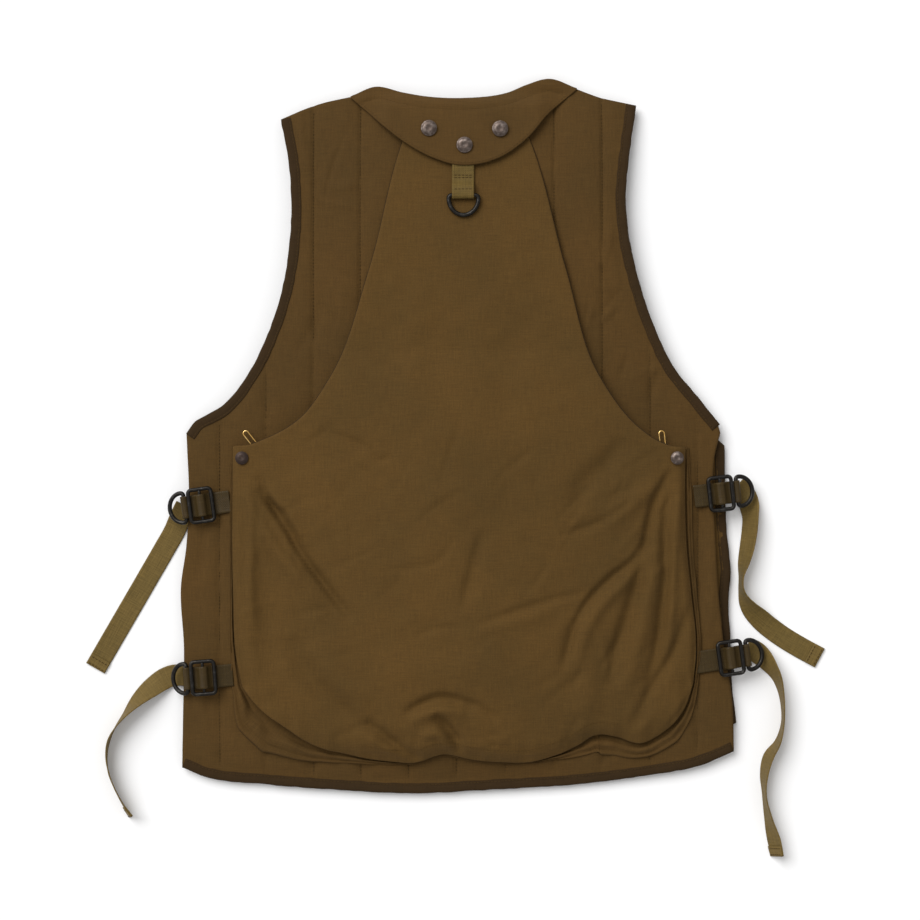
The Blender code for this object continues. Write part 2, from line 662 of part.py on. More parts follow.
def pull_points(tip, heading, count=8):
    """A long loop of wire that starts at its hinge and lies along its heading."""
    ahead = Vector((math.cos(heading), math.sin(heading), 0))
    aside = Vector((-ahead.y, ahead.x, 0))
    radius = (PULL_WIDTH - PULL_WIRE) / 2
    straight = PULL_LENGTH - 2 * radius - PULL_WIRE
    points = []
    for i in range(count + 1):
        a = math.pi / 2 + math.pi * i / count
        points.append(tip + ahead * (radius + radius * math.cos(a)) + aside * radius * math.sin(a))
    for i in range(count + 1):
        a = -math.pi / 2 + math.pi * i / count
        points.append(tip + ahead * (radius + straight + radius * math.cos(a))
                      + aside * radius * math.sin(a))
    return points


def pouch_zip_arc(side):
    """A pouch zip's arc seen from above: its centre, and its angles at the closed and open ends."""
    closed, opened = graded(POUCH_ZIPS[side])
    chord = opened - closed
    half = np.linalg.norm(chord) / 2
    normal = np.array([-chord[1], chord[0]]) / (2 * half)
    if normal[1] < 0:
        normal = -normal
    centre = (closed + opened) / 2 + normal * math.sqrt(POUCH_ZIP_RADIUS ** 2 - half ** 2)
    start, end = (math.atan2(p[1] - centre[1], p[0] - centre[0]) for p in (closed, opened))
    return centre, start, end


def pouch_zip_plane(side):
    """The tilted plane a pouch zip's arc lies in: the arc's centre and the plane's normal."""
    centre, start, end = pouch_zip_arc(side)
    feet = []
    for turn in (start, (start + end) / 2, end):
        x, y = centre + POUCH_ZIP_RADIUS * np.array([math.cos(turn), math.sin(turn)])
        feet.append(Vector((x, y, back_high(x, y) + ZIP_LIFT)))
    up = (feet[1] - feet[0]).cross(feet[2] - feet[0]).normalized()
    if up.z < 0:
        up = -up
    across = Vector((centre[0], centre[1], 0)) - feet[0]
    z = feet[0].z - (across.x * up.x + across.y * up.y) / up.z
    return Vector((centre[0], centre[1], z)), up


def pouch_zip_frame(side, angle):
    """Origin, across and up of the zip's section at an angle of its arc."""
    centre, up = pouch_zip_plane(side)
    across = Vector((math.cos(angle), math.sin(angle), 0))
    across = (across - up * across.dot(up)).normalized()
    return centre + across * POUCH_ZIP_RADIUS, across, up


def pouch_zips():
    for side in POUCH_ZIPS:
        start, end = pouch_zip_arc(side)[1:]
        spare = math.copysign(POUCH_ZIP_SPARE / POUCH_ZIP_RADIUS, end - start)
        turns = np.linspace(start - spare, end + spare, 19)
        swept("pouch_zip_tape_" + side, [pouch_zip_frame(side, turn) for turn in turns],
              zip_section(), TAPE)
        origin, across, up = pouch_zip_frame(side, start)
        along = up.cross(across)
        ends = [(origin + along * (ZIP_BODY_LENGTH * s), across, up) for s in (-0.5, 0.5)]
        slider = swept("pouch_zip_slider_" + side, ends, zip_body_section(), BRASS)
        pivoted(slider, hinge_at("pouch_zip_axis_" + side, pouch_zip_plane(side)[0]))
        eye = origin + up * (CHAIN_HEIGHT + ZIP_RUN + ZIP_BODY_WALL + LAY + PULL_WIRE)
        pull = wire("pouch_zip_pull_" + side, pull_points(eye, math.radians(PULL_HEADINGS[side])),
                    PULL_WIRE, BRASS)
        pivoted(pull, hinge_at("pouch_pull_axis_" + side, eye))


def front_zip():
    start, end = graded(FRONT_ZIP_ENDS)[:, 1]
    across, up = Vector((1, 0, 0)), Vector((0, 0, 1))
    tooth = CHAIN_WIDTH / 2 - ZIP_SPLIT
    shelf = FRONT_THICK + BINDING_PROUD + LAY
    edge = FRONT_ZIP_HALF + FRONT_TAPE_REACH
    frames = [(Vector((0, y, front_low(0, y))), across, up) for y in np.linspace(start, end, 21)]
    for side, sign in (("left", -1), ("right", 1)):
        section = [(ZIP_SPLIT, 0), (tooth, 0), (tooth, shelf), (edge, shelf), (edge, shelf + TAPE_THICK),
                   (ZIP_SPLIT, shelf + TAPE_THICK)]
        swept("front_zip_tape_" + side, frames, [(sign * u, w) for u, w in section], TAPE)
    place = Vector((0, end - FRONT_SLIDER_BACK, front_low(0, end - FRONT_SLIDER_BACK)))
    half, chain = ZIP_BODY_WIDTH / 2, tooth + ZIP_RUN
    floor = -ZIP_RUN - ZIP_BODY_WALL
    section = [(-half, floor), (half, floor), (half, FRONT_BODY_TOP), (chain, FRONT_BODY_TOP),
               (chain, -ZIP_RUN), (-chain, -ZIP_RUN), (-chain, FRONT_BODY_TOP), (-half, FRONT_BODY_TOP)]
    ends = [(place + Vector((0, ZIP_BODY_LENGTH * s, 0)), across, up) for s in (-0.5, 0.5)]
    pivoted(swept("front_zip_slider", ends, section, BRASS), hinge_at("front_zip_axis", place))
    eye = place + up * (floor - LAY - PULL_WIRE)
    pull = wire("front_zip_pull", pull_points(eye, -math.pi / 2), PULL_WIRE, BRASS)
    pivoted(pull, hinge_at("front_pull_axis", eye))


# ------------------------------------------------------------------ yoke and net ring
def yoke_strip():
    left, right = graded([(YOKE_ENDS[0], YOKE_HINGE_Y), (YOKE_ENDS[1], YOKE_HINGE_Y)])
    seam = SEAM / 2
    bottom = curve_through([(left[0], left[1] + seam), (right[0], right[1] + seam)], 14)
    top = curve_through(graded(NECK), 14)
    grid = coons(bottom, curve_through([bottom[-1], top[-1]], 2), top,
                 curve_through([bottom[0], top[0]], 2))
    sheet("yoke_strip", grid, yoke_low, YOKE_THICK, SHELL)


def yoke_hinge():
    """The flap's fold line, level with the highest cloth along it."""
    ends = graded([(YOKE_ENDS[0], YOKE_HINGE_Y), (YOKE_ENDS[1], YOKE_HINGE_Y)])
    crest = max(yoke_high(x, ends[0][1]) for x in np.linspace(ends[0][0], ends[1][0], 40))
    return Vector((0, ends[0][1], crest + 2 * SEAM))


def yoke_flap():
    hinge = hinge_at("yoke_flap_axis", yoke_hinge())
    ends = graded([(YOKE_ENDS[0], YOKE_HINGE_Y), (YOKE_ENDS[1], YOKE_HINGE_Y)])
    seam = SEAM / 2
    top = curve_through([(ends[0][0], ends[0][1] - seam), (ends[1][0], ends[1][1] - seam)], 16)
    bottom = curve_through(graded(YOKE_EDGE), 16)
    grid = coons(bottom, curve_through([bottom[-1], top[-1]], 6), top,
                 curve_through([bottom[0], top[0]], 6))
    pivoted(sheet("yoke_flap", grid, yoke_low, YOKE_THICK, SHELL), hinge)
    for number, place in enumerate(YOKE_SNAPS, 1):
        x, y = graded([place])[0]
        cap = snap(f"yoke_snap_{number}", x, y, highest(yoke_high, x, y, CAP_RADIUS) + LAY,
                   CAP_RADIUS, CAP_HEIGHT, ANTIQUE)
        pivoted(cap, hinge)
        stud(f"yoke_stud_{number}", x, y, highest(cover_high, x, y, STUD_RADIUS) + LAY,
             STUD_RADIUS, STUD_HEIGHT)


def ring_points(centre, across, down, width, depth):
    """A D-ring's wire: its straight bar at the centre, its arc along down."""
    half = (width - RING_WIRE) / 2
    reach = depth - RING_WIRE - RING_CORNER
    flat = [(-half + RING_CORNER, 0.0), (0.0, 0.0), (half - RING_CORNER, 0.0)]
    for i in (1, 2):
        a = -math.pi / 2 + math.pi / 6 * i
        flat.append((half - RING_CORNER + RING_CORNER * math.cos(a), RING_CORNER + RING_CORNER * math.sin(a)))
    for i in range(0, 13):
        a = math.pi * i / 12
        flat.append((half * math.cos(a), RING_CORNER + reach * math.sin(a)))
    for i in (2, 1):
        a = -math.pi / 2 - math.pi / 6 * i
        flat.append((-half + RING_CORNER + RING_CORNER * math.cos(a),
                     RING_CORNER + RING_CORNER * math.sin(a)))
    return [centre + across * u + down * v for u, v in flat]


def hook_around(bar, radius, start, turn, count):
    """Points of webbing on its way round a bar, in its own plane of (along, up)."""
    return [(bar[0] + radius * math.cos(start + turn * i / count),
             bar[1] + radius * math.sin(start + turn * i / count)) for i in range(count + 1)]


def net_ring():
    x, top = graded([TAB_TOP])[0]
    bar_y, sewn_y = graded([(0, TAB_BAR_Y), (0, TAB_SEWN_Y)])[:, 1]
    half = WEB_THICK / 2
    floor = lambda y: crest_across(cover_high, x, y, TAB_WIDTH / 2) + LAY
    wrap = RING_WIRE / 2 + SEAM + half
    bar_z = floor(bar_y - wrap) + half + wrap
    line = [(top, floor(top) + half), ((top + bar_y) / 2 + 0.004, floor((top + bar_y) / 2) + half),
            (bar_y + 0.004, floor(bar_y) + half)]
    line += [(y, z) for y, z in hook_around((bar_y, bar_z), wrap, -math.pi / 2, -math.pi, 7)]
    line += [(bar_y + 0.006, bar_z + 0.9 * wrap),
             (sewn_y - 0.006, floor(sewn_y) + WEB_THICK + LAY + half),
             (sewn_y, floor(sewn_y) + WEB_THICK + LAY + half)]
    ribbon("net_ring_tab", [(x, y, z) for y, z in line], [(1, 0, 0)] * len(line), TAB_WIDTH, WEB_THICK,
           WEBBING)
    bar = Vector((x + RING_OFFSET, bar_y, bar_z))
    reach = RING_DEPTH - RING_WIRE
    low = highest(cover_high, bar.x, bar_y - reach, RING_WIRE) + LAY + RING_WIRE / 2
    droop = math.asin((bar_z - low) / reach)
    down = Vector((0, -math.cos(droop), -math.sin(droop)))
    hinge = hinge_at("net_ring_axis", bar)
    pivoted(wire("net_ring", ring_points(bar, Vector((1, 0, 0)), down, RING_WIDTH, RING_DEPTH),
                 RING_WIRE, GUNMETAL), hinge)


# ------------------------------------------------------------------ side straps
def strap_frame(strap):
    """The slider's centre, the strap's outboard direction, and the direction across it."""
    heading = math.radians(strap["heading"])
    along = Vector((math.cos(heading), math.sin(heading), 0))
    x, y = graded([strap["slider"]])[0]
    inner = Vector((x, y, 0)) - along * SLIDER_LENGTH / 2
    z = highest(back_high, inner.x, inner.y, SLIDER_WIDTH / 2) + strap["lift"]
    return Vector((x, y, z)), along, Vector((-along.y, along.x, 0))


def ring_bar(strap):
    """The straight bar of a side ring, beside the slider's outer bar and below it."""
    centre, along, across = strap_frame(strap)
    return centre + along * (SLIDER_LENGTH / 2 + SLIDER_WIRE / 2 + 0.0012) - Vector((0, 0, 0.0045))


def strap_anchor(name, strap):
    centre, along, across = strap_frame(strap)
    bar = ring_bar(strap)
    half = WEB_THICK / 2
    edge = (SLIDER_LENGTH - SLIDER_WIRE) / 2
    over_wire = SLIDER_WIRE / 2 + SEAM + half
    over_bar = SLIDER_BAR / 2 + SEAM + half
    wrap = RING_WIRE / 2 + SEAM + half
    sewn = (graded([(strap["sewn_x"], 0)])[0][0] - centre.x) / along.x
    start = centre + along * sewn
    lie = highest(back_high, start.x, start.y, STRAP_WIDTH / 2) + LAY + half - centre.z
    ring_u = (bar - centre).dot(along)
    ring_z = bar.z - centre.z
    # under the inner bar, with room for its tilt, over the middle bar and under the outer bar
    under = -over_wire - TILT_ROOM
    line = [(sewn, lie), ((sewn - edge) / 2, (lie + under) / 2), (-edge - 0.002, under), (-edge, under),
            (-edge + 0.002, under * 0.9), (-0.0040, over_bar * 0.60), (-0.0020, over_bar), (0.0, over_bar),
            (0.0020, over_bar), (0.0045, over_bar * 0.25), (edge - 0.0035, -over_wire * 0.80),
            (edge - 0.0010, -over_wire), (edge + 0.0008, -over_wire)]
    line += hook_around((ring_u, ring_z), wrap, math.radians(102), math.radians(-200), 8)
    centres = [centre + along * u + Vector((0, 0, z)) for u, z in line]
    ribbon("strap_anchor_" + name, centres, [tuple(across)] * len(centres), STRAP_WIDTH, WEB_THICK,
           WEBBING)


def rounded_frame(length, width, corner, steps):
    """Points of a rounded rectangle, in (along, across)."""
    half_u, half_w = length / 2 - corner, width / 2 - corner
    points = []
    for quarter, (su, sw) in enumerate(((1, 1), (-1, 1), (-1, -1), (1, -1))):
        for i in range(steps + 1):
            a = math.pi / 2 * (quarter + i / steps)
            points.append((su * half_u + corner * math.cos(a), sw * half_w + corner * math.sin(a)))
    return points


def slider_buckle(name, strap):
    centre, along, across = strap_frame(strap)
    outline = rounded_frame(SLIDER_LENGTH - SLIDER_WIRE, SLIDER_WIDTH - SLIDER_WIRE,
                            SLIDER_CORNER - SLIDER_WIRE / 2, 4)
    frame = wire("slider_buckle_" + name, [centre + along * u + across * w for u, w in outline],
                 SLIDER_WIRE, GUNMETAL)
    frame = mesh_of(frame)
    bpy.ops.mesh.primitive_cylinder_add(vertices=8, radius=SLIDER_BAR / 2,
                                        depth=SLIDER_WIDTH - SLIDER_WIRE, location=centre)
    bar = bpy.context.object
    bar.name = "slider_bar_" + name
    bar.rotation_euler = Vector((0, 0, 1)).rotation_difference(across).to_euler()
    for old in list(bar.users_collection):
        old.objects.unlink(bar)
    collections[CUTTERS].objects.link(bar)
    bar.hide_render = True
    bar.display_type = "WIRE"
    union = frame.modifiers.new("centre_bar", "BOOLEAN")
    union.operation = "UNION"
    union.solver = "EXACT"
    union.object = bar
    hinge = hinge_at("slider_axis_" + name, centre)
    pivoted(frame, hinge)
    pivoted(bar, hinge)


def side_ring(name, strap):
    centre, along, across = strap_frame(strap)
    bar = ring_bar(strap)
    droop = math.radians(RING_DROOP[name])
    down = along * math.cos(droop) - Vector((0, 0, math.sin(droop)))
    hinge = hinge_at("side_ring_axis_" + name, bar)
    pivoted(wire("side_ring_" + name, ring_points(bar, across, down, RING_WIDTH, SIDE_RING_DEPTH),
                 RING_WIRE, GUNMETAL), hinge)


def tail_line(route, count):
    """A tail's centre line and the directions across it, from x, y, lift and roll."""
    # the roll is scaled down so that the points are spaced by their places alone
    even = curve_through(np.array(route) * (1, 1, 1, ROLL_SCALE), count) / (1, 1, 1, ROLL_SCALE)
    flat = side_of(even)
    centres, sides = [], []
    for (x, y, lift, roll), (nx, ny) in zip(even, flat):
        tilt = math.radians(roll)
        rise = TAIL_WIDTH / 2 * math.sin(tilt) + WEB_THICK / 2 * math.cos(tilt)
        centres.append((x, y, max(lift, 0.0002) + rise))
        sides.append((nx * math.cos(tilt), ny * math.cos(tilt), math.sin(tilt)))
    return centres, sides


def strap_tail(name, strap):
    """The loose end; it keeps its place beside the slider at any size of vest."""
    moved = graded([strap["slider"]])[0] - strap["slider"]
    centres, sides = tail_line(np.array(TAILS[name]) + (*moved, 0, 0), TAIL_STEPS)
    ribbon("strap_tail_" + name, centres, sides, TAIL_WIDTH, WEB_THICK, WEBBING)


# ------------------------------------------------------------------ front pockets
def front_pockets():
    for side, sign in (("left", -1), ("right", 1)):
        near, far, low_y, high_y = FRONT_POCKET
        corners = graded([(sign * near, low_y), (sign * far, high_y)])
        xs = sorted((corners[0][0], corners[1][0]))
        grid = rectangle(xs, (corners[0][1], corners[1][1]), 6, 6)
        sheet("front_pocket_" + side, grid, pocket_low, POCKET_THICK, SHELL)

        near, far, low_y, high_y = POCKET_FLAP
        corners = graded([(sign * near, low_y), (sign * far, high_y)])
        xs = sorted((corners[0][0], corners[1][0]))
        grid = rectangle(xs, (corners[0][1], corners[1][1]), 6, 3)
        roof = min(pocket_low(x, y) for x, y in grid.reshape(-1, 2))
        level = roof - LAY - POCKET_THICK
        hinge = hinge_at("pocket_flap_axis_" + side, ((xs[0] + xs[1]) / 2, corners[1][1], level))
        pivoted(sheet("pocket_flap_" + side, grid, lambda x, y: level, POCKET_THICK, SHELL), hinge)
        x, y = (xs[0] + xs[1]) / 2, corners[0][1] + FLAP_SNAP_INSET
        cap = snap("pocket_snap_" + side, x, y, level - LAY, SMALL_CAP_RADIUS, CAP_HEIGHT * 0.6, ANTIQUE)
        cap.rotation_euler = (math.pi, 0, 0)
        pivoted(cap, hinge)


def rectangle(xs, ys, columns, rows):
    across = np.linspace(xs[0], xs[1], columns + 1)
    up = np.linspace(ys[0], ys[1], rows + 1)
    return np.array([[(x, y) for x in across] for y in up])


# ------------------------------------------------------------------ the vest
def shade_round():
    """Round metal is shaded smooth up to its sharp edges."""
    for obj in collections[COLLECTION].objects:
        if obj.type == "MESH" and obj.data.materials[0] in (GUNMETAL, ANTIQUE, BRASS):
            obj.data.shade_smooth()
            obj.data.set_sharp_from_angle(angle=math.radians(35))


def main():
    back_panel()
    front_panel("left", -1, FRONT_SIDE_LEFT, FRONT_ARMHOLE_LEFT, FRONT_HEM_LEFT, FRONT_NECK_LEFT)
    front_panel("right", 1, FRONT_SIDE_RIGHT, FRONT_ARMHOLE_RIGHT, FRONT_HEM_RIGHT, FRONT_NECK_RIGHT)
    bindings()
    neck_facing()
    hanger_loop()
    pouch_cover()
    pouch_gusset()
    pouch_snaps()
    pouch_zips()
    front_zip()
    yoke_strip()
    yoke_flap()
    net_ring()
    for name, strap in STRAPS.items():
        strap_anchor(name, strap)
        slider_buckle(name, strap)
        side_ring(name, strap)
        strap_tail(name, strap)
    front_pockets()
    shade_round()


main()
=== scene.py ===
# %% [markdown]
# A fishing vest lies face down on a pale table, with its back up.
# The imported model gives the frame: hinges, rings, buckles and the size of every panel.
# This lesson dresses that frame in cloth, webbing and metal, one piece at a time.
# Everything is in metres. +Z is up out of the back, and +Y runs towards the collar.

# %% Load the frame
import math

import bmesh
import bpy
import numpy as np
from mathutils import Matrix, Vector


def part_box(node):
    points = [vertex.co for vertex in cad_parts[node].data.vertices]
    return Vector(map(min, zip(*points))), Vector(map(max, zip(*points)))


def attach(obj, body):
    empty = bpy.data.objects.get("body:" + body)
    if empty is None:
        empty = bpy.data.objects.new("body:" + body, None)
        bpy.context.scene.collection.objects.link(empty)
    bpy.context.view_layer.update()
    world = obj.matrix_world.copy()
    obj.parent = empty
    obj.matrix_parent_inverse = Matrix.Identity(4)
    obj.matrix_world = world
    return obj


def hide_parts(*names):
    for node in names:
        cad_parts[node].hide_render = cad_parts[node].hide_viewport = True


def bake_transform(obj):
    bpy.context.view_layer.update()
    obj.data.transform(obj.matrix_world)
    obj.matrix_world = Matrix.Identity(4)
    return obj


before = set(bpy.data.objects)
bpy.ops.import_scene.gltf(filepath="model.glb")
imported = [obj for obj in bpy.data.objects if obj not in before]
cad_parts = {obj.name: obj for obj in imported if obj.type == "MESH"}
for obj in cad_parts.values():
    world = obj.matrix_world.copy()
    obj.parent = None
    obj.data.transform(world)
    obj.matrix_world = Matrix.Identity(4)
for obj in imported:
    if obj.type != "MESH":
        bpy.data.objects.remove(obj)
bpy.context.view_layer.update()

# %% [markdown]
# The camera looks straight down through a long lens, on a garment laid out flat.
# A long lens keeps the near cloth and the far hem at one scale.

# %% Camera
VIEW_CENTRE = (-0.004, -0.024)
VIEW_WIDTH = 0.920
LENS, SENSOR = 100, 36
CLOTH_LEVEL = 0.022

lens = bpy.data.cameras.new("camera")
lens.lens, lens.sensor_width = LENS, SENSOR
lens.clip_start, lens.clip_end = 0.1, 50
camera = bpy.data.objects.new("camera", lens)
bpy.context.collection.objects.link(camera)
camera.location = (*VIEW_CENTRE, CLOTH_LEVEL + VIEW_WIDTH * LENS / SENSOR)
bpy.context.scene.camera = camera
print("camera height", round(camera.location.z, 2))

# %% [markdown]
# Plain white floor and soft light from the upper left. A wide lamp makes the soft grey shadow
# that falls to the lower right; the pale surroundings fill it in.

# %% Light and floor
KEY_DIRECTION = Vector((-0.44, 0.50, 0.74))
KEY_STRENGTH, KEY_WIDTH = 2.55, math.radians(44)
SKY_STRENGTH = 0.56

world = bpy.data.worlds.new("studio")
bpy.context.scene.world = world
world.use_nodes = True
world.node_tree.nodes["Background"].inputs["Color"].default_value = (1.0, 0.995, 0.985, 1)
world.node_tree.nodes["Background"].inputs["Strength"].default_value = SKY_STRENGTH

lamp = bpy.data.lights.new("soft_key", "SUN")
lamp.energy, lamp.angle = KEY_STRENGTH, KEY_WIDTH
key = bpy.data.objects.new("soft_key", lamp)
bpy.context.collection.objects.link(key)
key.rotation_mode = "QUATERNION"
key.rotation_quaternion = KEY_DIRECTION.to_track_quat("Z", "Y")
bpy.context.scene.view_settings.view_transform = "Standard"

floor_mesh = bpy.data.meshes.new("floor")
FLOOR_REACH = 25
corners = [(x * FLOOR_REACH, y * FLOOR_REACH, 0) for x, y in ((-1, -1), (1, -1), (1, 1), (-1, 1))]
floor_mesh.from_pydata(corners, [], [(0, 1, 2, 3)])
floor = bpy.data.objects.new("floor", floor_mesh)
bpy.context.collection.objects.link(floor)
paper = bpy.data.materials.new("floor_paper")
paper.use_nodes = True
paper.node_tree.nodes["Principled BSDF"].inputs["Base Color"].default_value = (0.93, 0.93, 0.935, 1)
paper.node_tree.nodes["Principled BSDF"].inputs["Roughness"].default_value = 0.9
floor_mesh.materials.append(paper)
print("floor and light ready")

# %% [markdown]
# Shader groups. Two effects are shared by all the cloth: the weave of the threads and the uneven
# dye of a garment that has been washed. Each is a node group with named inputs, built once and
# placed in every cloth with its own values. They read the flat pattern's own coordinates, so the
# threads run along the cloth however it folds.

# %% Helpers for shader nodes
def add_node(tree, kind, **values):
    made = tree.nodes.new("ShaderNode" + kind)
    for name, value in values.items():
        if hasattr(made, name):
            setattr(made, name, value)
        else:
            made.inputs[name.replace("_", " ")].default_value = value
    return made


def maths(tree, operation, first, second=0.0, third=None):
    made = tree.nodes.new("ShaderNodeMath")
    made.operation = operation
    for socket, value in zip(made.inputs, (first, second, third)):
        if value is None:
            continue
        if isinstance(value, (int, float)):
            socket.default_value = value
        else:
            tree.links.new(value, socket)
    return made.outputs[0]


def new_group(name, inputs, outputs):
    """An empty shader group with its sockets, and its input and output nodes."""
    tree = bpy.data.node_groups.new(name, "ShaderNodeTree")
    for title, kind, default in inputs:
        socket = tree.interface.new_socket(title, in_out="INPUT", socket_type="NodeSocket" + kind)
        if default is not None:
            socket.default_value = default
    for title, kind in outputs:
        tree.interface.new_socket(title, in_out="OUTPUT", socket_type="NodeSocket" + kind)
    return tree, tree.nodes.new("NodeGroupInput"), tree.nodes.new("NodeGroupOutput")


def noise(tree, place, scale, detail=2.0, stretch=None):
    """A noise value; scale counts lumps to the metre, and stretch squeezes it along an axis."""
    if stretch is not None:
        squeeze = tree.nodes.new("ShaderNodeVectorMath")
        squeeze.operation = "MULTIPLY"
        squeeze.inputs[1].default_value = stretch
        tree.links.new(place, squeeze.inputs[0])
        place = squeeze.outputs[0]
    made = add_node(tree, "TexNoise", Scale=scale, Detail=detail)
    tree.links.new(place, made.inputs["Vector"])
    return made.outputs["Fac"]


# %% Group: woven threads
def woven_threads():
    tree, given, out = new_group(
        "woven_threads",
        [("Place", "Vector", None), ("Thread", "Float", 0.0005), ("Slub", "Float", 0.5)],
        [("Height", "Float"), ("Shade", "Float")])
    place = given.outputs["Place"]
    split = tree.nodes.new("ShaderNodeSeparateXYZ")
    tree.links.new(place, split.inputs[0])
    ridges = []
    for axis in ("X", "Y"):
        turns = maths(tree, "DIVIDE", split.outputs[axis], given.outputs["Thread"])
        ridges.append(maths(tree, "SINE", maths(tree, "MULTIPLY", turns, math.pi)))
    checker = maths(tree, "MULTIPLY", ridges[0], ridges[1])
    warp = noise(tree, place, 900, 1.0, (1.0, 0.06, 1.0))
    weft = noise(tree, place, 900, 1.0, (0.06, 1.0, 1.0))
    slubs = maths(tree, "SUBTRACT", maths(tree, "ADD", warp, weft), 1.0)
    uneven = maths(tree, "MULTIPLY", slubs, given.outputs["Slub"])
    height = maths(tree, "MULTIPLY_ADD", checker, 0.35, 0.5)
    tree.links.new(maths(tree, "ADD", height, uneven), out.inputs["Height"])
    shade = maths(tree, "MULTIPLY_ADD", checker, 0.06, 1.0)
    tree.links.new(maths(tree, "ADD", shade, maths(tree, "MULTIPLY", uneven, 0.75)), out.inputs["Shade"])
    return tree


# %% Group: washed dye
def washed_dye():
    tree, given, out = new_group(
        "washed_dye",
        [("Place", "Vector", None), ("Cloth", "Color", (0.1, 0.06, 0.02, 1)),
         ("Faded", "Color", (0.1, 0.07, 0.025, 1)), ("Shade", "Float", 1.0), ("Fuzz", "Float", 0.2)],
        [("Color", "Color"), ("Roughness", "Float")])
    place = given.outputs["Place"]
    patches = noise(tree, place, 9, 3.0)
    spots = noise(tree, place, 70, 4.0)
    fuzz = noise(tree, place, 650, 3.0)
    spread = maths(tree, "MULTIPLY_ADD", maths(tree, "SUBTRACT", patches, 0.5), 2.6, 0.5)
    spread = maths(tree, "ADD", spread, maths(tree, "MULTIPLY", maths(tree, "SUBTRACT", spots, 0.5), 1.0))
    blend = tree.nodes.new("ShaderNodeMix")
    blend.data_type, blend.clamp_factor = "RGBA", True
    tree.links.new(spread, blend.inputs["Factor"])
    tree.links.new(given.outputs["Cloth"], blend.inputs[6])
    tree.links.new(given.outputs["Faded"], blend.inputs[7])
    grain = maths(tree, "MULTIPLY", maths(tree, "SUBTRACT", fuzz, 0.5), given.outputs["Fuzz"])
    clouds = maths(tree, "MULTIPLY", maths(tree, "SUBTRACT", spots, 0.5), 0.22)
    light = maths(tree, "ADD", maths(tree, "ADD", given.outputs["Shade"], grain), clouds)
    tint = tree.nodes.new("ShaderNodeVectorMath")
    tint.operation = "SCALE"
    tree.links.new(blend.outputs[2], tint.inputs[0])
    tree.links.new(light, tint.inputs["Scale"])
    tree.links.new(tint.outputs[0], out.inputs["Color"])
    tree.links.new(maths(tree, "MULTIPLY_ADD", fuzz, 0.16, 0.78), out.inputs["Roughness"])
    return tree


WEAVE, DYE = woven_threads(), washed_dye()
print("shader groups:", WEAVE.name, DYE.name)


# %% [markdown]
# Cloth finishes. The shell is a close cotton and nylon cloth in a brown olive, with a faint bloom
# of loose fibre, and the quilted body and the yoke are a shade darker than the pouch. The bindings
# are a darker tape; webbing is coarser, lighter, and a little shiny.
# The sheen is the glow that loose fibre gives at a glancing angle.

# %% Cloth finishes
def cloth_finish(name, cloth, faded, thread, slub, fuzz, bump, sheen, roughness_scale=1.0):
    made = bpy.data.materials.new(name)
    made.use_nodes = True
    tree = made.node_tree
    shader = tree.nodes["Principled BSDF"]
    place = tree.nodes.new("ShaderNodeUVMap")
    place.uv_map = "pattern"
    weave = tree.nodes.new("ShaderNodeGroup")
    weave.node_tree = WEAVE
    weave.inputs["Thread"].default_value = thread
    weave.inputs["Slub"].default_value = slub
    dye = tree.nodes.new("ShaderNodeGroup")
    dye.node_tree = DYE
    dye.inputs["Cloth"].default_value = (*cloth, 1)
    dye.inputs["Faded"].default_value = (*faded, 1)
    dye.inputs["Fuzz"].default_value = fuzz
    for group in (weave, dye):
        tree.links.new(place.outputs["UV"], group.inputs["Place"])
    tree.links.new(weave.outputs["Shade"], dye.inputs["Shade"])
    tree.links.new(dye.outputs["Color"], shader.inputs["Base Color"])
    rough = maths(tree, "MULTIPLY", dye.outputs["Roughness"], roughness_scale)
    tree.links.new(rough, shader.inputs["Roughness"])
    relief = add_node(tree, "Bump", Strength=0.5, Distance=bump)
    tree.links.new(weave.outputs["Height"], relief.inputs["Height"])
    tree.links.new(relief.outputs["Normal"], shader.inputs["Normal"])
    shader.inputs["Sheen Weight"].default_value = sheen
    shader.inputs["Sheen Roughness"].default_value = 0.5
    shader.inputs["Sheen Tint"].default_value = (0.75, 0.65, 0.45, 1)
    shader.inputs["Specular IOR Level"].default_value = 0.14
    return made


SHELL = cloth_finish("shell_cloth", (0.094, 0.0492, 0.0117), (0.076, 0.0420, 0.0106),
                     0.00045, 0.46, 0.50, 0.00018, 0.012)
QUILT_CLOTH = cloth_finish("quilt_cloth", (0.083, 0.0430, 0.0108), (0.068, 0.0372, 0.0098),
                           0.00045, 0.46, 0.50, 0.00018, 0.012)
YOKE_CLOTH = cloth_finish("yoke_cloth", (0.083, 0.0430, 0.0108), (0.068, 0.0370, 0.0098),
                          0.00045, 0.42, 0.40, 0.00016, 0.012)
TAPE_CLOTH = cloth_finish("binding_cloth", (0.036, 0.0190, 0.0062), (0.032, 0.0180, 0.0062),
                          0.0007, 0.50, 0.26, 0.00030, 0.02)
WEBBING = cloth_finish("olive_webbing", (0.150, 0.098, 0.027), (0.112, 0.076, 0.021),
                       0.0011, 0.90, 0.40, 0.00055, 0.04, 0.72)
# The anchor webbing is much darker than the loose ends: partly a darker webbing, partly painted shade for the
# shadow it lies in beside the buckles.
SHADED_ANCHOR_WEBBING = cloth_finish("anchor_webbing_painted_shade", (0.044, 0.027, 0.0078), (0.038, 0.025, 0.0078),
                            0.0011, 0.90, 0.36, 0.00055, 0.03, 0.50)
TAB_WEBBING = cloth_finish("tab_webbing", (0.120, 0.076, 0.0185), (0.100, 0.068, 0.0175),
                           0.0011, 0.90, 0.36, 0.00055, 0.03, 0.72)
THREAD = cloth_finish("thread", (0.062, 0.034, 0.0092), (0.054, 0.031, 0.0090),
                      0.0004, 0.30, 0.20, 0.00010, 0.01)
print("cloth finishes:", [m.name for m in bpy.data.materials])
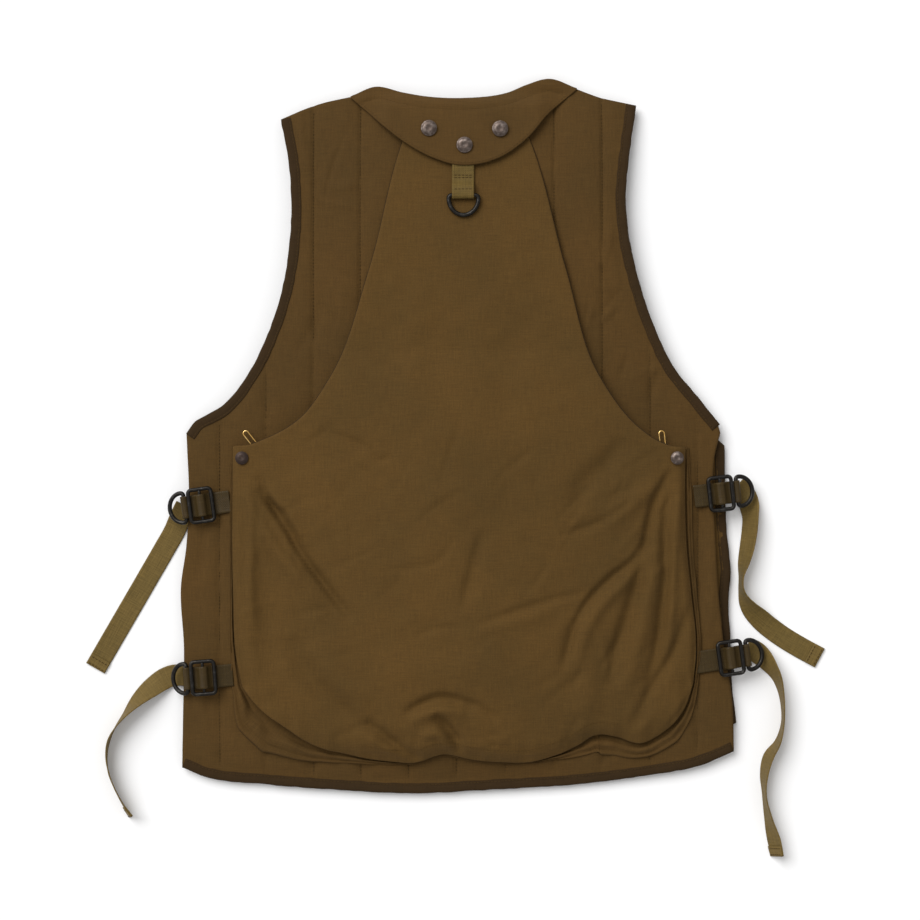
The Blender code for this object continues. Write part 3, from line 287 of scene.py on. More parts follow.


# %% [markdown]
# Metal finishes. The buckles and rings are dark plated wire, rubbed lighter in places; the press
# caps are an antique copper brown, with a darker copy on the left pouch cap as painted shade; the zip sliders
# and pulls are yellow brass.
# One group makes the rubbed patches for all of them.

# %% Group: rubbed metal
def rubbed_metal():
    tree, given, out = new_group(
        "rubbed_metal",
        [("Place", "Vector", None), ("Plating", "Color", (0.03, 0.03, 0.03, 1)),
         ("Bare", "Color", (0.2, 0.2, 0.2, 1)), ("Rubbed", "Float", 0.3), ("Dull", "Float", 0.35)],
        [("Color", "Color"), ("Roughness", "Float"), ("Height", "Float")])
    place = given.outputs["Place"]
    patches, pits = noise(tree, place, 260, 4.0), noise(tree, place, 1500, 3.0)
    worn = maths(tree, "ADD", maths(tree, "SUBTRACT", patches, 0.62), maths(tree, "MULTIPLY", pits, 0.12))
    worn = maths(tree, "ADD", maths(tree, "MULTIPLY", worn, 5.0), given.outputs["Rubbed"])
    blend = tree.nodes.new("ShaderNodeMix")
    blend.data_type, blend.clamp_factor = "RGBA", True
    tree.links.new(worn, blend.inputs["Factor"])
    tree.links.new(given.outputs["Plating"], blend.inputs[6])
    tree.links.new(given.outputs["Bare"], blend.inputs[7])
    tree.links.new(blend.outputs[2], out.inputs["Color"])
    tree.links.new(maths(tree, "MULTIPLY_ADD", pits, 0.25, given.outputs["Dull"]), out.inputs["Roughness"])
    tree.links.new(maths(tree, "ADD", pits, patches), out.inputs["Height"])
    return tree


RUB = rubbed_metal()


# %% Metal finishes
def metal_finish(name, plating, bare, rubbed, dull, metallic=1.0):
    made = bpy.data.materials.new(name)
    made.use_nodes = True
    tree = made.node_tree
    shader = tree.nodes["Principled BSDF"]
    place = tree.nodes.new("ShaderNodeTexCoord")
    rub = tree.nodes.new("ShaderNodeGroup")
    rub.node_tree = RUB
    rub.inputs["Plating"].default_value = (*plating, 1)
    rub.inputs["Bare"].default_value = (*bare, 1)
    rub.inputs["Rubbed"].default_value = rubbed
    rub.inputs["Dull"].default_value = dull
    tree.links.new(place.outputs["Object"], rub.inputs["Place"])
    tree.links.new(rub.outputs["Color"], shader.inputs["Base Color"])
    tree.links.new(rub.outputs["Roughness"], shader.inputs["Roughness"])
    relief = add_node(tree, "Bump", Strength=0.3, Distance=0.0001)
    tree.links.new(rub.outputs["Height"], relief.inputs["Height"])
    tree.links.new(relief.outputs["Normal"], shader.inputs["Normal"])
    shader.inputs["Metallic"].default_value = metallic
    return made


GUNMETAL = metal_finish("plated_wire", (0.020, 0.018, 0.016), (0.055, 0.052, 0.048), 0.05, 0.26, 0.85)
ANTIQUE = metal_finish("antique_cap", (0.105, 0.080, 0.068), (0.215, 0.175, 0.155), 0.45, 0.36)
# A darker copy of the cap finish, used on the left pouch cap: painted shade.
SHADED_POUCH_CAP = metal_finish("brown_cap_painted_shade", (0.034, 0.020, 0.015), (0.070, 0.043, 0.032), 0.12, 0.38, 0.6)
BRASS = metal_finish("yellow_brass", (0.70, 0.43, 0.13), (0.95, 0.70, 0.32), 0.35, 0.16)
CHAIN_METAL = metal_finish("zip_teeth", (0.10, 0.075, 0.040), (0.30, 0.22, 0.11), 0.25, 0.30)
print("metals ready")


# %% [markdown]
# Mesh helpers. Every piece is a closed mesh made from rows of points, with a flat "pattern" map in
# metres, so the weave keeps its true size. Smooth curves run through a few set points.

# %% Curves through points
def curve_through(points, count):
    """count + 1 evenly spaced points on a smooth curve through the given ones."""
    given = np.asarray(points, float)
    chord = np.r_[0, np.cumsum(np.linalg.norm(np.diff(given[:, :3], axis=0), axis=1))]
    if len(given) == 2:
        share = np.linspace(0, 1, count + 1)[:, None]
        return given[0] * (1 - share) + given[1] * share
    slope = np.gradient(given, chord, axis=0)
    fine = np.linspace(0, chord[-1], 40 * len(given))
    span = np.clip(np.searchsorted(chord, fine, "right") - 1, 0, len(given) - 2)
    step = (chord[span + 1] - chord[span])[:, None]
    t = (fine - chord[span])[:, None] / step
    at = ((2 * t ** 3 - 3 * t ** 2 + 1) * given[span] + (t ** 3 - 2 * t ** 2 + t) * step * slope[span]
          + (3 * t ** 2 - 2 * t ** 3) * given[span + 1] + (t ** 3 - t ** 2) * step * slope[span + 1])
    run = np.r_[0, np.cumsum(np.linalg.norm(np.diff(at[:, :3], axis=0), axis=1))]
    even = np.linspace(0, run[-1], count + 1)
    return np.stack([np.interp(even, run, at[:, i]) for i in range(at.shape[1])], axis=1)


def joined(*curves):
    return np.concatenate([curves[0]] + [curve[1:] for curve in curves[1:]])


def side_of(points):
    """Unit normals to the left of a flat curve."""
    along = np.gradient(np.asarray(points)[:, :2], axis=0)
    along /= np.maximum(np.linalg.norm(along, axis=1)[:, None], 1e-9)
    return np.stack([-along[:, 1], along[:, 0]], axis=1)


def run_of(points):
    """Distance along a line of points."""
    return np.r_[0, np.cumsum(np.linalg.norm(np.diff(np.asarray(points), axis=0), axis=1))]


# %% Closed meshes from points
def piece(name, points, faces, pattern, finish, body="vest", stands_for=()):
    """A smooth closed mesh that rides on a body, with its flat pattern coordinates."""
    mesh = bpy.data.meshes.new(name)
    mesh.from_pydata(np.asarray(points, float).tolist(), [], faces)
    work = bmesh.new()
    work.from_mesh(mesh)
    bmesh.ops.recalc_face_normals(work, faces=work.faces)
    work.to_mesh(mesh)
    work.free()
    layer = mesh.uv_layers.new(name="pattern")
    corner = np.zeros(len(mesh.loops), np.int32)
    mesh.loops.foreach_get("vertex_index", corner)
    layer.data.foreach_set("uv", np.asarray(pattern, np.float32)[corner].ravel())
    mesh.shade_smooth()
    mesh.materials.append(finish)
    made = bpy.data.objects.new(name, mesh)
    bpy.context.collection.objects.link(made)
    if body:
        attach(made, body)
    if stands_for:
        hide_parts(*stands_for)
    return made


def tube_faces(rows, ring, closed=False):
    """Faces of a tube of rows of ring points each, capped at its ends unless it closes on itself."""
    faces = []
    for r in range(rows if closed else rows - 1):
        low, high = r * ring, (r + 1) % rows * ring
        for c in range(ring):
            d = (c + 1) % ring
            faces.append((low + c, low + d, high + d, high + c))
    if not closed:
        faces.append(tuple(range(ring))[::-1])
        faces.append(tuple((rows - 1) * ring + c for c in range(ring)))
    return faces


def swept(centres, across, up, section):
    """Points of a section, given as (across, up) pairs, carried along centres."""
    centres, across, up = (np.asarray(v, float)[:, None, :] for v in (centres, across, up))
    section = np.asarray(section, float)
    if section.ndim == 2:
        section = np.broadcast_to(section, (len(centres),) + section.shape)
    return (centres + across * section[..., :1] + up * section[..., 1:]).reshape(-1, 3)


# %% [markdown]
# Flat webbing. A woven strap has rounded selvedges and keeps its width however it twists.
# Each is swept along its line from a thin rounded section, so both faces and both edges are real.

# %% Webbing along a line
def strap_section(width, thickness):
    """A flat strap's section: slightly thicker selvedges, and rounded edges."""
    half, t = width / 2, thickness / 2
    inner = half - 1.6 * thickness
    top = [(half, 0.35 * t), (half - 0.5 * t, t), (inner, 1.02 * t), (inner - 0.0008, 0.8 * t),
           (half * 0.33, 0.86 * t)]
    top += [(-u, w) for u, w in top[::-1]]
    return np.array(top + [(-u, -w) for u, w in top])


def webbing(name, centres, sides, width, thickness, finish, body="vest", stands_for=()):
    centres = np.asarray(centres, float)
    along = np.gradient(centres, axis=0)
    along /= np.linalg.norm(along, axis=1)[:, None]
    sides = np.asarray(sides, float)
    sides = sides - along * (sides * along).sum(axis=1)[:, None]
    sides /= np.linalg.norm(sides, axis=1)[:, None]
    face = np.cross(along, sides)
    section = strap_section(width, thickness)
    points = swept(centres, sides, face, section)
    run = np.repeat(run_of(centres), len(section))
    around = np.tile(section[:, 0], len(centres))
    return piece(name, points, tube_faces(len(centres), len(section)), np.stack([around, run], axis=1),
                 finish, body, stands_for)


# %% [markdown]
# The four loose strap ends come first, with the camera, because they reach furthest out.
# Each leaves its ring, drops to the table, and lies in its own loose curve, flat in one place and
# on its edge in another. The route gives x, y, the height of the lower edge, and the roll:
# 0 lies flat, and 90 stands on edge. Each end is folded back and stitched so that it can't fray.

# %% Loose strap ends: their routes
TAIL_WIDTH, WEB_THICK = 0.0215, 0.0012
TAIL_ROUTES = {
    "left_top": [(-0.2800, -0.0700, 0.0030, 0), (-0.2860, -0.0820, 0.0012, 0),
                 (-0.2920, -0.0960, 0.0003, 0), (-0.3010, -0.1120, 0.0003, 0),
                 (-0.3180, -0.1415, 0.0003, 0), (-0.3380, -0.1760, 0.0003, 0),
                 (-0.3560, -0.2070, 0.0003, 0), (-0.3715, -0.2338, 0.0003, 0)],
    "left_bottom": [(-0.2820, -0.2405, 0.0060, 0), (-0.2930, -0.2410, 0.0024, 0),
                    (-0.3010, -0.2440, 0.0003, 8), (-0.3130, -0.2520, 0.0003, 25),
                    (-0.3240, -0.2610, 0.0003, 45), (-0.3330, -0.2700, 0.0003, 62),
                    (-0.3415, -0.2805, 0.0003, 78), (-0.3500, -0.2920, 0.0003, 86),
                    (-0.3565, -0.3050, 0.0003, 90), (-0.3590, -0.3200, 0.0003, 86),
                    (-0.3570, -0.3380, 0.0003, 80), (-0.3500, -0.3560, 0.0003, 80),
                    (-0.3430, -0.3690, 0.0003, 78), (-0.3340, -0.3820, 0.0003, 74)],
    "right_top": [(0.2745, -0.0500, 0.0030, 0), (0.2825, -0.0580, 0.0012, 5),
                  (0.2868, -0.0680, 0.0003, 25), (0.2880, -0.0800, 0.0003, 46),
                  (0.2870, -0.0960, 0.0003, 50), (0.2845, -0.1120, 0.0003, 54),
                  (0.2810, -0.1280, 0.0003, 66), (0.2785, -0.1420, 0.0003, 84),
                  (0.2790, -0.1560, 0.0003, 80), (0.2860, -0.1710, 0.0003, 48),
                  (0.2990, -0.1850, 0.0003, 16), (0.3180, -0.2000, 0.0003, 0),
                  (0.3390, -0.2130, 0.0003, 0), (0.3585, -0.2235, 0.0003, 0)],
    "right_bottom": [(0.2845, -0.2130, 0.0030, 0), (0.2930, -0.2165, 0.0012, 5),
                     (0.3010, -0.2230, 0.0003, 30), (0.3080, -0.2320, 0.0003, 52),
                     (0.3140, -0.2420, 0.0003, 68), (0.3180, -0.2550, 0.0003, 80),
                     (0.3203, -0.2720, 0.0003, 88), (0.3200, -0.2900, 0.0003, 90),
                     (0.3150, -0.3080, 0.0003, 82), (0.3060, -0.3220, 0.0003, 70),
                     (0.3015, -0.3400, 0.0003, 76), (0.3015, -0.3580, 0.0003, 86),
                     (0.3055, -0.3820, 0.0003, 76), (0.3120, -0.4080, 0.0003, 58),
                     (0.3150, -0.4220, 0.0003, 62)],
}


# %% Loose strap ends: the webbing
def tail_line(route, count):
    """A loose end's centre line and the directions across it."""
    even = curve_through(np.array(route), count)
    tilt = np.radians(even[:, 3])
    rise = TAIL_WIDTH / 2 * np.sin(tilt) + WEB_THICK / 2 * np.cos(tilt)
    centres = np.c_[even[:, :2], np.maximum(even[:, 2], 0.0002) + rise]
    flat = side_of(even) * np.cos(tilt)[:, None]
    return centres, np.c_[flat, np.sin(tilt)]


tails = {}
for name, route in TAIL_ROUTES.items():
    centres, sides = tail_line(route, 110)
    tail = webbing("loose_end_" + name, centres, sides, TAIL_WIDTH, WEB_THICK, WEBBING,
                   stands_for=("strap_tail_" + name,))
    tails[name] = (tail, centres, sides)
    print(name, "loose end", round(run_of(centres)[-1], 3), "m long")


# %% [markdown]
# Threads. A seam's stitches are what the hand and eye find first, so they are real: each stitch is
# a short spindle of thread that dips into the cloth at both ends.

# %% Stitches along a line
STITCH, STITCH_GAP, THREAD_RADIUS = 0.0026, 0.0009, 0.00036


def stitches(name, lines, body="vest", finish=THREAD, radius=THREAD_RADIUS, length=STITCH):
    """Rows of stitches as one piece; each line is a list of points on the cloth."""
    points, faces, pattern = [], [], []
    bite = np.array([-0.5, -0.38, 0.0, 0.38, 0.5])
    swell = np.array([0.25, 0.85, 1.0, 0.85, 0.25])
    turns = np.linspace(0, math.tau, 6, endpoint=False)
    for line in lines:
        line = np.asarray(line, float)
        run = run_of(line)
        count = max(1, int(run[-1] / (length + STITCH_GAP)))
        for middle in (np.arange(count) + 0.5) * run[-1] / count:
            at = [np.array([np.interp(middle + s * length, run, line[:, i]) for i in range(3)])
                  for s in (-0.5, 0.0, 0.5)]
            along = at[2] - at[0]
            along /= max(np.linalg.norm(along), 1e-9)
            side = np.cross((0, 0, 1), along)
            side /= max(np.linalg.norm(side), 1e-9)
            up = np.cross(along, side)
            base = len(points)
            for share, fat in zip(bite, swell):
                centre = at[1] + along * share * length + up * radius * (0.5 * fat - 0.2)
                for turn in turns:
                    points.append(centre + radius * fat * (side * math.cos(turn) + up * math.sin(turn)))
                    pattern.append((middle + share * length, turn * radius))
            faces += [tuple(base + i for i in face) for face in tube_faces(5, 6)]
    return piece(name, points, faces, pattern, finish, body)


# %% Loose strap ends: folded hems
HEM_FOLD = 0.0125
for name, (tail, centres, sides) in tails.items():
    run = run_of(centres)
    last = run > run[-1] - HEM_FOLD
    along = np.gradient(centres, axis=0)
    along /= np.linalg.norm(along, axis=1)[:, None]
    face = np.cross(along, sides)
    face *= np.where(face[:, 2:] < 0, -1, 1)
    turned_end = centres[last] + face[last] * WEB_THICK * 1.02
    hem = webbing("loose_end_hem_" + name, turned_end, sides[last], TAIL_WIDTH * 0.985, WEB_THICK * 0.9,
                  WEBBING)
    on_top = centres + face * WEB_THICK * 1.62
    rows = []
    for back in (0.0022, 0.0100):
        at = int(np.searchsorted(run, run[-1] - back))
        ends = [on_top[at] + sides[at] * TAIL_WIDTH * s for s in (-0.42, 0.42)]
        rows.append(np.linspace(ends[0], ends[1], 8))
    sewn = stitches("loose_end_stitches_" + name, rows)


# %% [markdown]
# The layers of the vest. It lies flat, so each layer is a height above the table: the two fronts,
# the quilted back over them, the pouch cover over that, and the yoke on top. These heights repeat
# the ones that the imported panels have, and each dressed panel sits in its own panel's place.

# %% Heights of the layers
FRONT_THICK, BACK_THICK, COVER_THICK, YOKE_THICK = 0.0030, 0.0036, 0.0015, 0.0018
LAY = 0.0006
BODY_HALF = (0.290, 0.3445)


def ease(value, start, end):
    t = np.clip((value - start) / (end - start), 0.0, 1.0)
    return t * t * (3 - 2 * t)


def front_low(x, y):
    u, v = np.minimum(np.abs(x) / BODY_HALF[0], 1), np.minimum(np.abs(y) / BODY_HALF[1], 1)
    return 0.0006 + 0.008 * (1 - u ** 6) * (1 - v ** 6)


def back_low(x, y):
    u, v = np.minimum(np.abs(x) / BODY_HALF[0], 1), np.minimum(np.abs(y) / BODY_HALF[1], 1)
    return front_low(x, y) + FRONT_THICK + 0.0022 + 0.0105 * (1 - u * u) ** 2 * (1 - v ** 4)


def back_high(x, y):
    return back_low(x, y) + BACK_THICK


def pouch_gap(x, y):
    u = np.minimum(np.abs(x + 0.003) / 0.262, 1)
    v = np.minimum(np.abs(y + 0.140) / 0.225, 1)
    return 0.0025 + 0.006 * ease(y, 0.30, 0.06) + 0.012 * (1 - u * u) ** 2 * (1 - v ** 4)


def cover_high(x, y):
    return back_high(x, y) + pouch_gap(x, y) + COVER_THICK


def yoke_high(x, y):
    over = ease(np.abs(x), 0.097, 0.073) * ease(y, 0.350, 0.328)
    return back_high(x, y) + LAY + over * (pouch_gap(x, y) + COVER_THICK + 0.0034) + YOKE_THICK


# %% Outlines of the panels
ARMHOLE_LEFT = [(-0.183, 0.318), (-0.175, 0.276), (-0.173, 0.201), (-0.179, 0.156), (-0.192, 0.111),
                (-0.213, 0.066), (-0.241, 0.030), (-0.272, 0.011), (-0.2785, 0.002)]
ARMHOLE_RIGHT = [(0.172, 0.332), (0.166, 0.291), (0.161, 0.231), (0.164, 0.201), (0.174, 0.156),
                 (0.189, 0.111), (0.211, 0.066), (0.236, 0.036), (0.256, 0.011)]
SIDE_LEFT = [(-0.283, -0.332), (-0.282, -0.280), (-0.281, -0.213), (-0.284, -0.149),
             (-0.279, -0.114), (-0.276, -0.060), (-0.2785, 0.002)]
SIDE_RIGHT = [(0.271, -0.316), (0.269, -0.264), (0.262, -0.220), (0.256, -0.170), (0.252, -0.104),
              (0.250, -0.060), (0.251, -0.020), (0.257, 0.003)]
HEM = [(-0.283, -0.332), (-0.262, -0.341), (-0.200, -0.349), (-0.120, -0.355), (-0.061, -0.358),
       (0.036, -0.354), (0.114, -0.349), (0.178, -0.341), (0.240, -0.329), (0.271, -0.316)]
SHOULDER_LEFT = [(-0.183, 0.318), (-0.149, 0.332), (-0.112, 0.341)]
NECK = [(-0.112, 0.341), (-0.089, 0.350), (-0.061, 0.344), (-0.040, 0.340), (0.001, 0.338),
        (0.044, 0.344), (0.063, 0.352), (0.085, 0.358), (0.113, 0.3485)]
SHOULDER_RIGHT = [(0.113, 0.3485), (0.133, 0.341), (0.172, 0.332)]

FRONT_SIDE = {"left": [(-0.272, -0.318), (-0.272, -0.150), (-0.268, -0.012)],
              "right": [(0.273, -0.288), (0.269, -0.254), (0.267, -0.204), (0.265, -0.164),
                        (0.267, -0.141), (0.263, -0.093), (0.261, -0.010)]}
FRONT_ARMHOLE = {"left": [(-0.268, -0.012), (-0.236, 0.018), (-0.205, 0.062), (-0.184, 0.112),
                          (-0.170, 0.170), (-0.165, 0.230), (-0.172, 0.300)],
                 "right": [(0.261, -0.010), (0.228, 0.022), (0.201, 0.064), (0.180, 0.112),
                           (0.163, 0.165), (0.153, 0.230), (0.162, 0.308)]}
FRONT_HEM = {"left": [(-0.272, -0.318), (-0.180, -0.334), (-0.006, -0.345)],
             "right": [(0.273, -0.288), (0.190, -0.322), (0.006, -0.345)]}
FRONT_NECK = {"left": [(-0.006, 0.110), (-0.040, 0.190), (-0.085, 0.330)],
              "right": [(0.006, 0.110), (0.040, 0.190), (0.082, 0.334)]}

COVER_SIDE_LEFT = [(-0.2215, -0.250), (-0.2270, -0.222), (-0.2305, -0.154), (-0.2310, -0.0105)]
COVER_EDGE_LEFT = [(-0.231, -0.0105), (-0.215, -0.0095), (-0.202, -0.0050), (-0.164, 0.016),
                   (-0.134, 0.056), (-0.094, 0.166), (-0.061, 0.294), (-0.052, 0.318)]
COVER_SIDE_RIGHT = [(0.2290, -0.246), (0.2316, -0.212), (0.2270, -0.160), (0.2220, -0.110),
                    (0.2205, -0.060), (0.2210, -0.0115)]
COVER_EDGE_RIGHT = [(0.2210, -0.0115), (0.209, -0.0110), (0.196, -0.0070), (0.176, 0.006), (0.136, 0.056),
                    (0.101, 0.166), (0.066, 0.294), (0.056, 0.318)]
COVER_BOTTOM = [(-0.2215, -0.250), (-0.204, -0.2715), (-0.182, -0.288), (-0.160, -0.303), (-0.139, -0.3125),
                (-0.100, -0.321), (-0.054, -0.3265), (-0.020, -0.3185), (0.002, -0.3215), (0.036, -0.3265),
                (0.061, -0.3255), (0.090, -0.320), (0.112, -0.309), (0.132, -0.2985), (0.152, -0.3000),
                (0.177, -0.3065), (0.203, -0.2925), (0.221, -0.270), (0.2290, -0.246)]
YOKE_EDGE = [(-0.114, 0.340), (-0.0945, 0.3235), (-0.081, 0.311), (-0.061, 0.295), (-0.031, 0.278),
             (-0.008, 0.271), (0.014, 0.2715), (0.035, 0.278), (0.063, 0.298), (0.0845, 0.3235),
             (0.1125, 0.3480)]


# %% [markdown]
# Panels. A panel is a net of points between four edges, laid at its height, with a real thickness
# and a rounded rim like folded cloth. Wrinkles are added to the height as soft ridges and valleys
# along set lines, because a garment's main folds are where the hand and the weight put them.

# %% Panels from their outlines
def between(bottom, right, top, left):
    """A net of points between four boundary curves, rows from the bottom to the top."""
    u = np.linspace(0, 1, len(bottom))[None, :, None]
    v = np.linspace(0, 1, len(left))[:, None, None]
    rows = (1 - v) * bottom[None] + v * top[None]
    columns = (1 - u) * left[:, None] + u * right[:, None]
    corners = ((1 - u) * (1 - v) * bottom[0] + u * (1 - v) * bottom[-1]
               + (1 - u) * v * top[0] + u * v * top[-1])
    return rows + columns - corners


def evened(edge, reach=24):
    """The edge with its bends averaged out, and its ends kept."""
    padded = np.concatenate([2 * edge[0] - edge[reach:0:-1], edge, 2 * edge[-1] - edge[-2:-reach - 2:-1]])
    summed = np.cumsum(np.concatenate([padded[:1] * 0, padded]), axis=0)
    return (summed[2 * reach + 1:] - summed[:-2 * reach - 1]) / (2 * reach + 1)


def between_evened(bottom, right, top, left):
    """As between, but the bends of the side edges stay near those edges."""
    soft_left, soft_right = evened(evened(left)), evened(evened(right))
    net = between(bottom, soft_right, top, soft_left)
    u = np.linspace(0, 1, len(bottom))[None, :, None]
    return net + (left - soft_left)[:, None] * (1 - u) ** 9 + (right - soft_right)[:, None] * u ** 9


def rim_of(rows, columns):
    """The net's outer points in order round it."""
    return ([c for c in range(columns - 1)] + [r * columns + columns - 1 for r in range(rows - 1)]
            + [(rows - 1) * columns + c for c in range(columns - 1, 0, -1)]
            + [r * columns for r in range(rows - 1, 0, -1)])


def panel(name, net, high, thickness, finish, body="vest", stands_for=(), round_rim=0.5):
    """Cloth on a net of (x, y), with its upper face at high and a rounded rim."""
    rows, columns = net.shape[:2]
    flat = net.reshape(-1, 2)
    top = np.c_[flat, np.asarray(high, float).reshape(-1)]
    low = top - (0, 0, thickness)
    rim = rim_of(rows, columns)
    loop = top[rim]
    ahead = np.roll(loop, -1, axis=0) - np.roll(loop, 1, axis=0)
    outward = np.stack([ahead[:, 1], -ahead[:, 0]], axis=1)
    outward /= np.maximum(np.linalg.norm(outward, axis=1)[:, None], 1e-9)
    middle = loop - (0, 0, thickness / 2)
    middle[:, :2] += outward * thickness * round_rim
    count, ring = len(top), len(rim)
    faces = []
    for r in range(rows - 1):
        for c in range(columns - 1):
            a = r * columns + c
            faces.append((a, a + 1, a + columns + 1, a + columns))
            faces.append((count + a, count + a + columns, count + a + columns + 1, count + a + 1))
    for i in range(ring):
        j = (i + 1) % ring
        a, b, m, n = rim[i], rim[j], 2 * count + i, 2 * count + j
        faces += [(b, a, m, n), (n, m, count + a, count + b)]
    points = np.concatenate([top, low, middle])
    pattern = np.concatenate([flat, flat, middle[:, :2]])
    return piece(name, points, faces, pattern, finish, body, stands_for)


# %% Wrinkles
def distance_to(x, y, line):
    """Distance to a line of points, the side it is on, and the share along it."""
    best = np.full(np.shape(x), 9.0)
    side, share = np.zeros(np.shape(x)), np.zeros(np.shape(x))
    run = run_of(line)
    for i in range(len(line) - 1):
        (ax, ay), (bx, by) = line[i], line[i + 1]
        dx, dy = bx - ax, by - ay
        t = np.clip(((x - ax) * dx + (y - ay) * dy) / (dx * dx + dy * dy), 0, 1)
        away = np.hypot(x - ax - t * dx, y - ay - t * dy)
        near = away < best
        best = np.where(near, away, best)
        side = np.where(near, np.sign(dx * (y - ay) - dy * (x - ax)), side)
        share = np.where(near, (run[i] + t * (run[i + 1] - run[i])) / run[-1], share)
    return best, side, share


def fold(x, y, line, height, left=0.006, right=0.006, fade=0.3):
    """A soft ridge (or valley, if height is negative) that fades at the line's ends.

    left and right are its widths on either side, so a fold can be steep on one side only."""
    away, side, share = distance_to(x, y, curve_through(line, 12))
    width = np.where(side > 0, left, right)
    ends = np.clip(share / fade, 0, 1) * np.clip((1 - share) / fade, 0, 1)
    return height * np.exp(-(away / width) ** 2) * np.sqrt(ends)


def waves(x, y, seed, size, count=7):
    """Slow uneven swells, -1 to 1, as laid cloth has; size is their usual width."""
    dice = np.random.default_rng(seed)
    total = np.zeros(np.shape(x))
    for _ in range(count):
        heading, phase = dice.uniform(0, math.tau), dice.uniform(0, math.tau)
        length = size * dice.uniform(0.7, 1.6)
        total += np.sin((x * math.cos(heading) + y * math.sin(heading)) * math.tau / length + phase)
    return total / count * 1.6


# %% Small creases
def creases(x, y, seed, count, box, heading, size=0.0005):
    """Short sharp creases scattered over a box of (low x, high x, low y, high y)."""
    dice = np.random.default_rng(seed)
    total = np.zeros(np.shape(x))
    for _ in range(count):
        px, py = dice.uniform(box[0], box[1]), dice.uniform(box[2], box[3])
        turn = heading + dice.normal(0, 0.5)
        length, width = dice.uniform(0.012, 0.034), dice.uniform(0.0020, 0.0042)
        height = size * dice.uniform(-1.2, 1.0)
        bend = dice.uniform(-6, 6)
        along = (x - px) * math.cos(turn) + (y - py) * math.sin(turn)
        off = (y - py) * math.cos(turn) - (x - px) * math.sin(turn) - bend * along ** 2
        total += height * np.exp(-(along / length) ** 2 - (off / width) ** 2)
    return total


# %% [markdown]
# The quilted back. Two cloths with wadding between are stitched in long upright channels about
# 47 mm apart. Each channel is a low pillow, pulled tight and puckered along its stitching.

# %% The quilted back
QUILT_LINES = [-0.2455, -0.1985, -0.1510, -0.1040, -0.0560, -0.0080, 0.0415, 0.0900, 0.1380, 0.1860, 0.2340]
QUILT_DIP, QUILT_PUFF = 0.0015, 0.0013


def quilted(x, y, seed):
    """Height that the quilting adds: pillows between the stitched lines, with puckers beside them."""
    lines = np.array(QUILT_LINES)
    nearest = np.abs(x[..., None] - lines).min(axis=-1)
    puff = QUILT_PUFF * (1 - np.exp(-(nearest / 0.009) ** 2)) - QUILT_DIP * np.exp(-(nearest / 0.0016) ** 2)
    pucker = 0.00045 * waves(x * 0.35, y, seed, 0.017, 9) * np.exp(-(nearest / 0.011) ** 2)
    return puff + pucker + 0.0007 * waves(x, y, seed + 1, 0.075)


left_edge = joined(curve_through(SIDE_LEFT, 140), curve_through(ARMHOLE_LEFT[::-1], 124))
right_edge = joined(curve_through(SIDE_RIGHT, 140), curve_through(ARMHOLE_RIGHT[::-1], 124))
top_edge = joined(curve_through(SHOULDER_LEFT, 42), curve_through(NECK, 126),
                  curve_through(SHOULDER_RIGHT, 42))
hem_edge = curve_through(HEM, 210)
back_net = between(hem_edge, right_edge, top_edge, left_edge)
bx, by = back_net[..., 0], back_net[..., 1]
armhole_away = np.minimum(distance_to(bx, by, curve_through(ARMHOLE_LEFT, 40))[0],
                          distance_to(bx, by, curve_through(ARMHOLE_RIGHT, 40))[0])
hem_away = distance_to(bx, by, curve_through(HEM, 40))[0]
calm = ease(np.minimum(armhole_away, hem_away), 0.009, 0.022)
back_relief = quilted(bx, by, 3) + creases(bx, by, 61, 60, (-0.27, 0.25, -0.34, 0.33), 1.4, 0.0010)
back_relief += creases(bx, by, 62, 26, (-0.21, -0.12, 0.03, 0.32), 2.3, 0.0015)
back_relief += creases(bx, by, 63, 26, (0.12, 0.21, 0.03, 0.32), 0.8, 0.0015)
back_relief += fold(bx, by, [(-0.150, 0.262), (-0.128, 0.248), (-0.100, 0.255)], 0.0012, 0.006, 0.004)
back_relief += fold(bx, by, [(0.150, 0.215), (0.140, 0.180), (0.128, 0.165)], 0.0012, 0.005, 0.005)
back_relief += fold(bx, by, [(-0.140, 0.145), (-0.150, 0.110), (-0.170, 0.080)], -0.0012, 0.006, 0.006)
back_relief += fold(bx, by, [(0.146, 0.150), (0.158, 0.112), (0.185, 0.076)], -0.0012, 0.006, 0.006)
back_relief += fold(bx, by, [(0.210, 0.060), (0.232, 0.020), (0.240, -0.030)], 0.0010, 0.006, 0.005)
back_relief += fold(bx, by, [(-0.268, -0.060), (-0.262, -0.115), (-0.270, -0.150)], -0.0012, 0.006, 0.006)
back_relief += fold(bx, by, [(0.236, -0.030), (0.241, -0.110), (0.237, -0.180)], -0.0014, 0.004, 0.006)
back_relief += fold(bx, by, [(0.243, -0.100), (0.249, -0.150), (0.246, -0.200)], 0.0012, 0.004, 0.004)
back_relief *= 0.2 + 0.8 * calm
back = panel("quilted_back", back_net, back_high(bx, by) - 0.0004 + back_relief, 0.0036, QUILT_CLOTH,
             stands_for=("back_panel",), round_rim=0.1)
print("quilted back:", len(back.data.vertices), "points,", len(QUILT_LINES), "stitched lines")


# %% Quilting stitches
def inside_back(x, y):
    """Whether a point is on the back panel, clear of its bindings."""
    left = np.interp(y, left_edge[:, 1], left_edge[:, 0]) + 0.011
    right = np.interp(y, right_edge[:, 1], right_edge[:, 0]) - 0.011
    bottom = np.interp(x, hem_edge[:, 0], hem_edge[:, 1]) + 0.010
    top = np.interp(x, top_edge[:, 0], top_edge[:, 1]) - 0.004
    return (x > left) & (x < right) & (y > bottom) & (y < top)


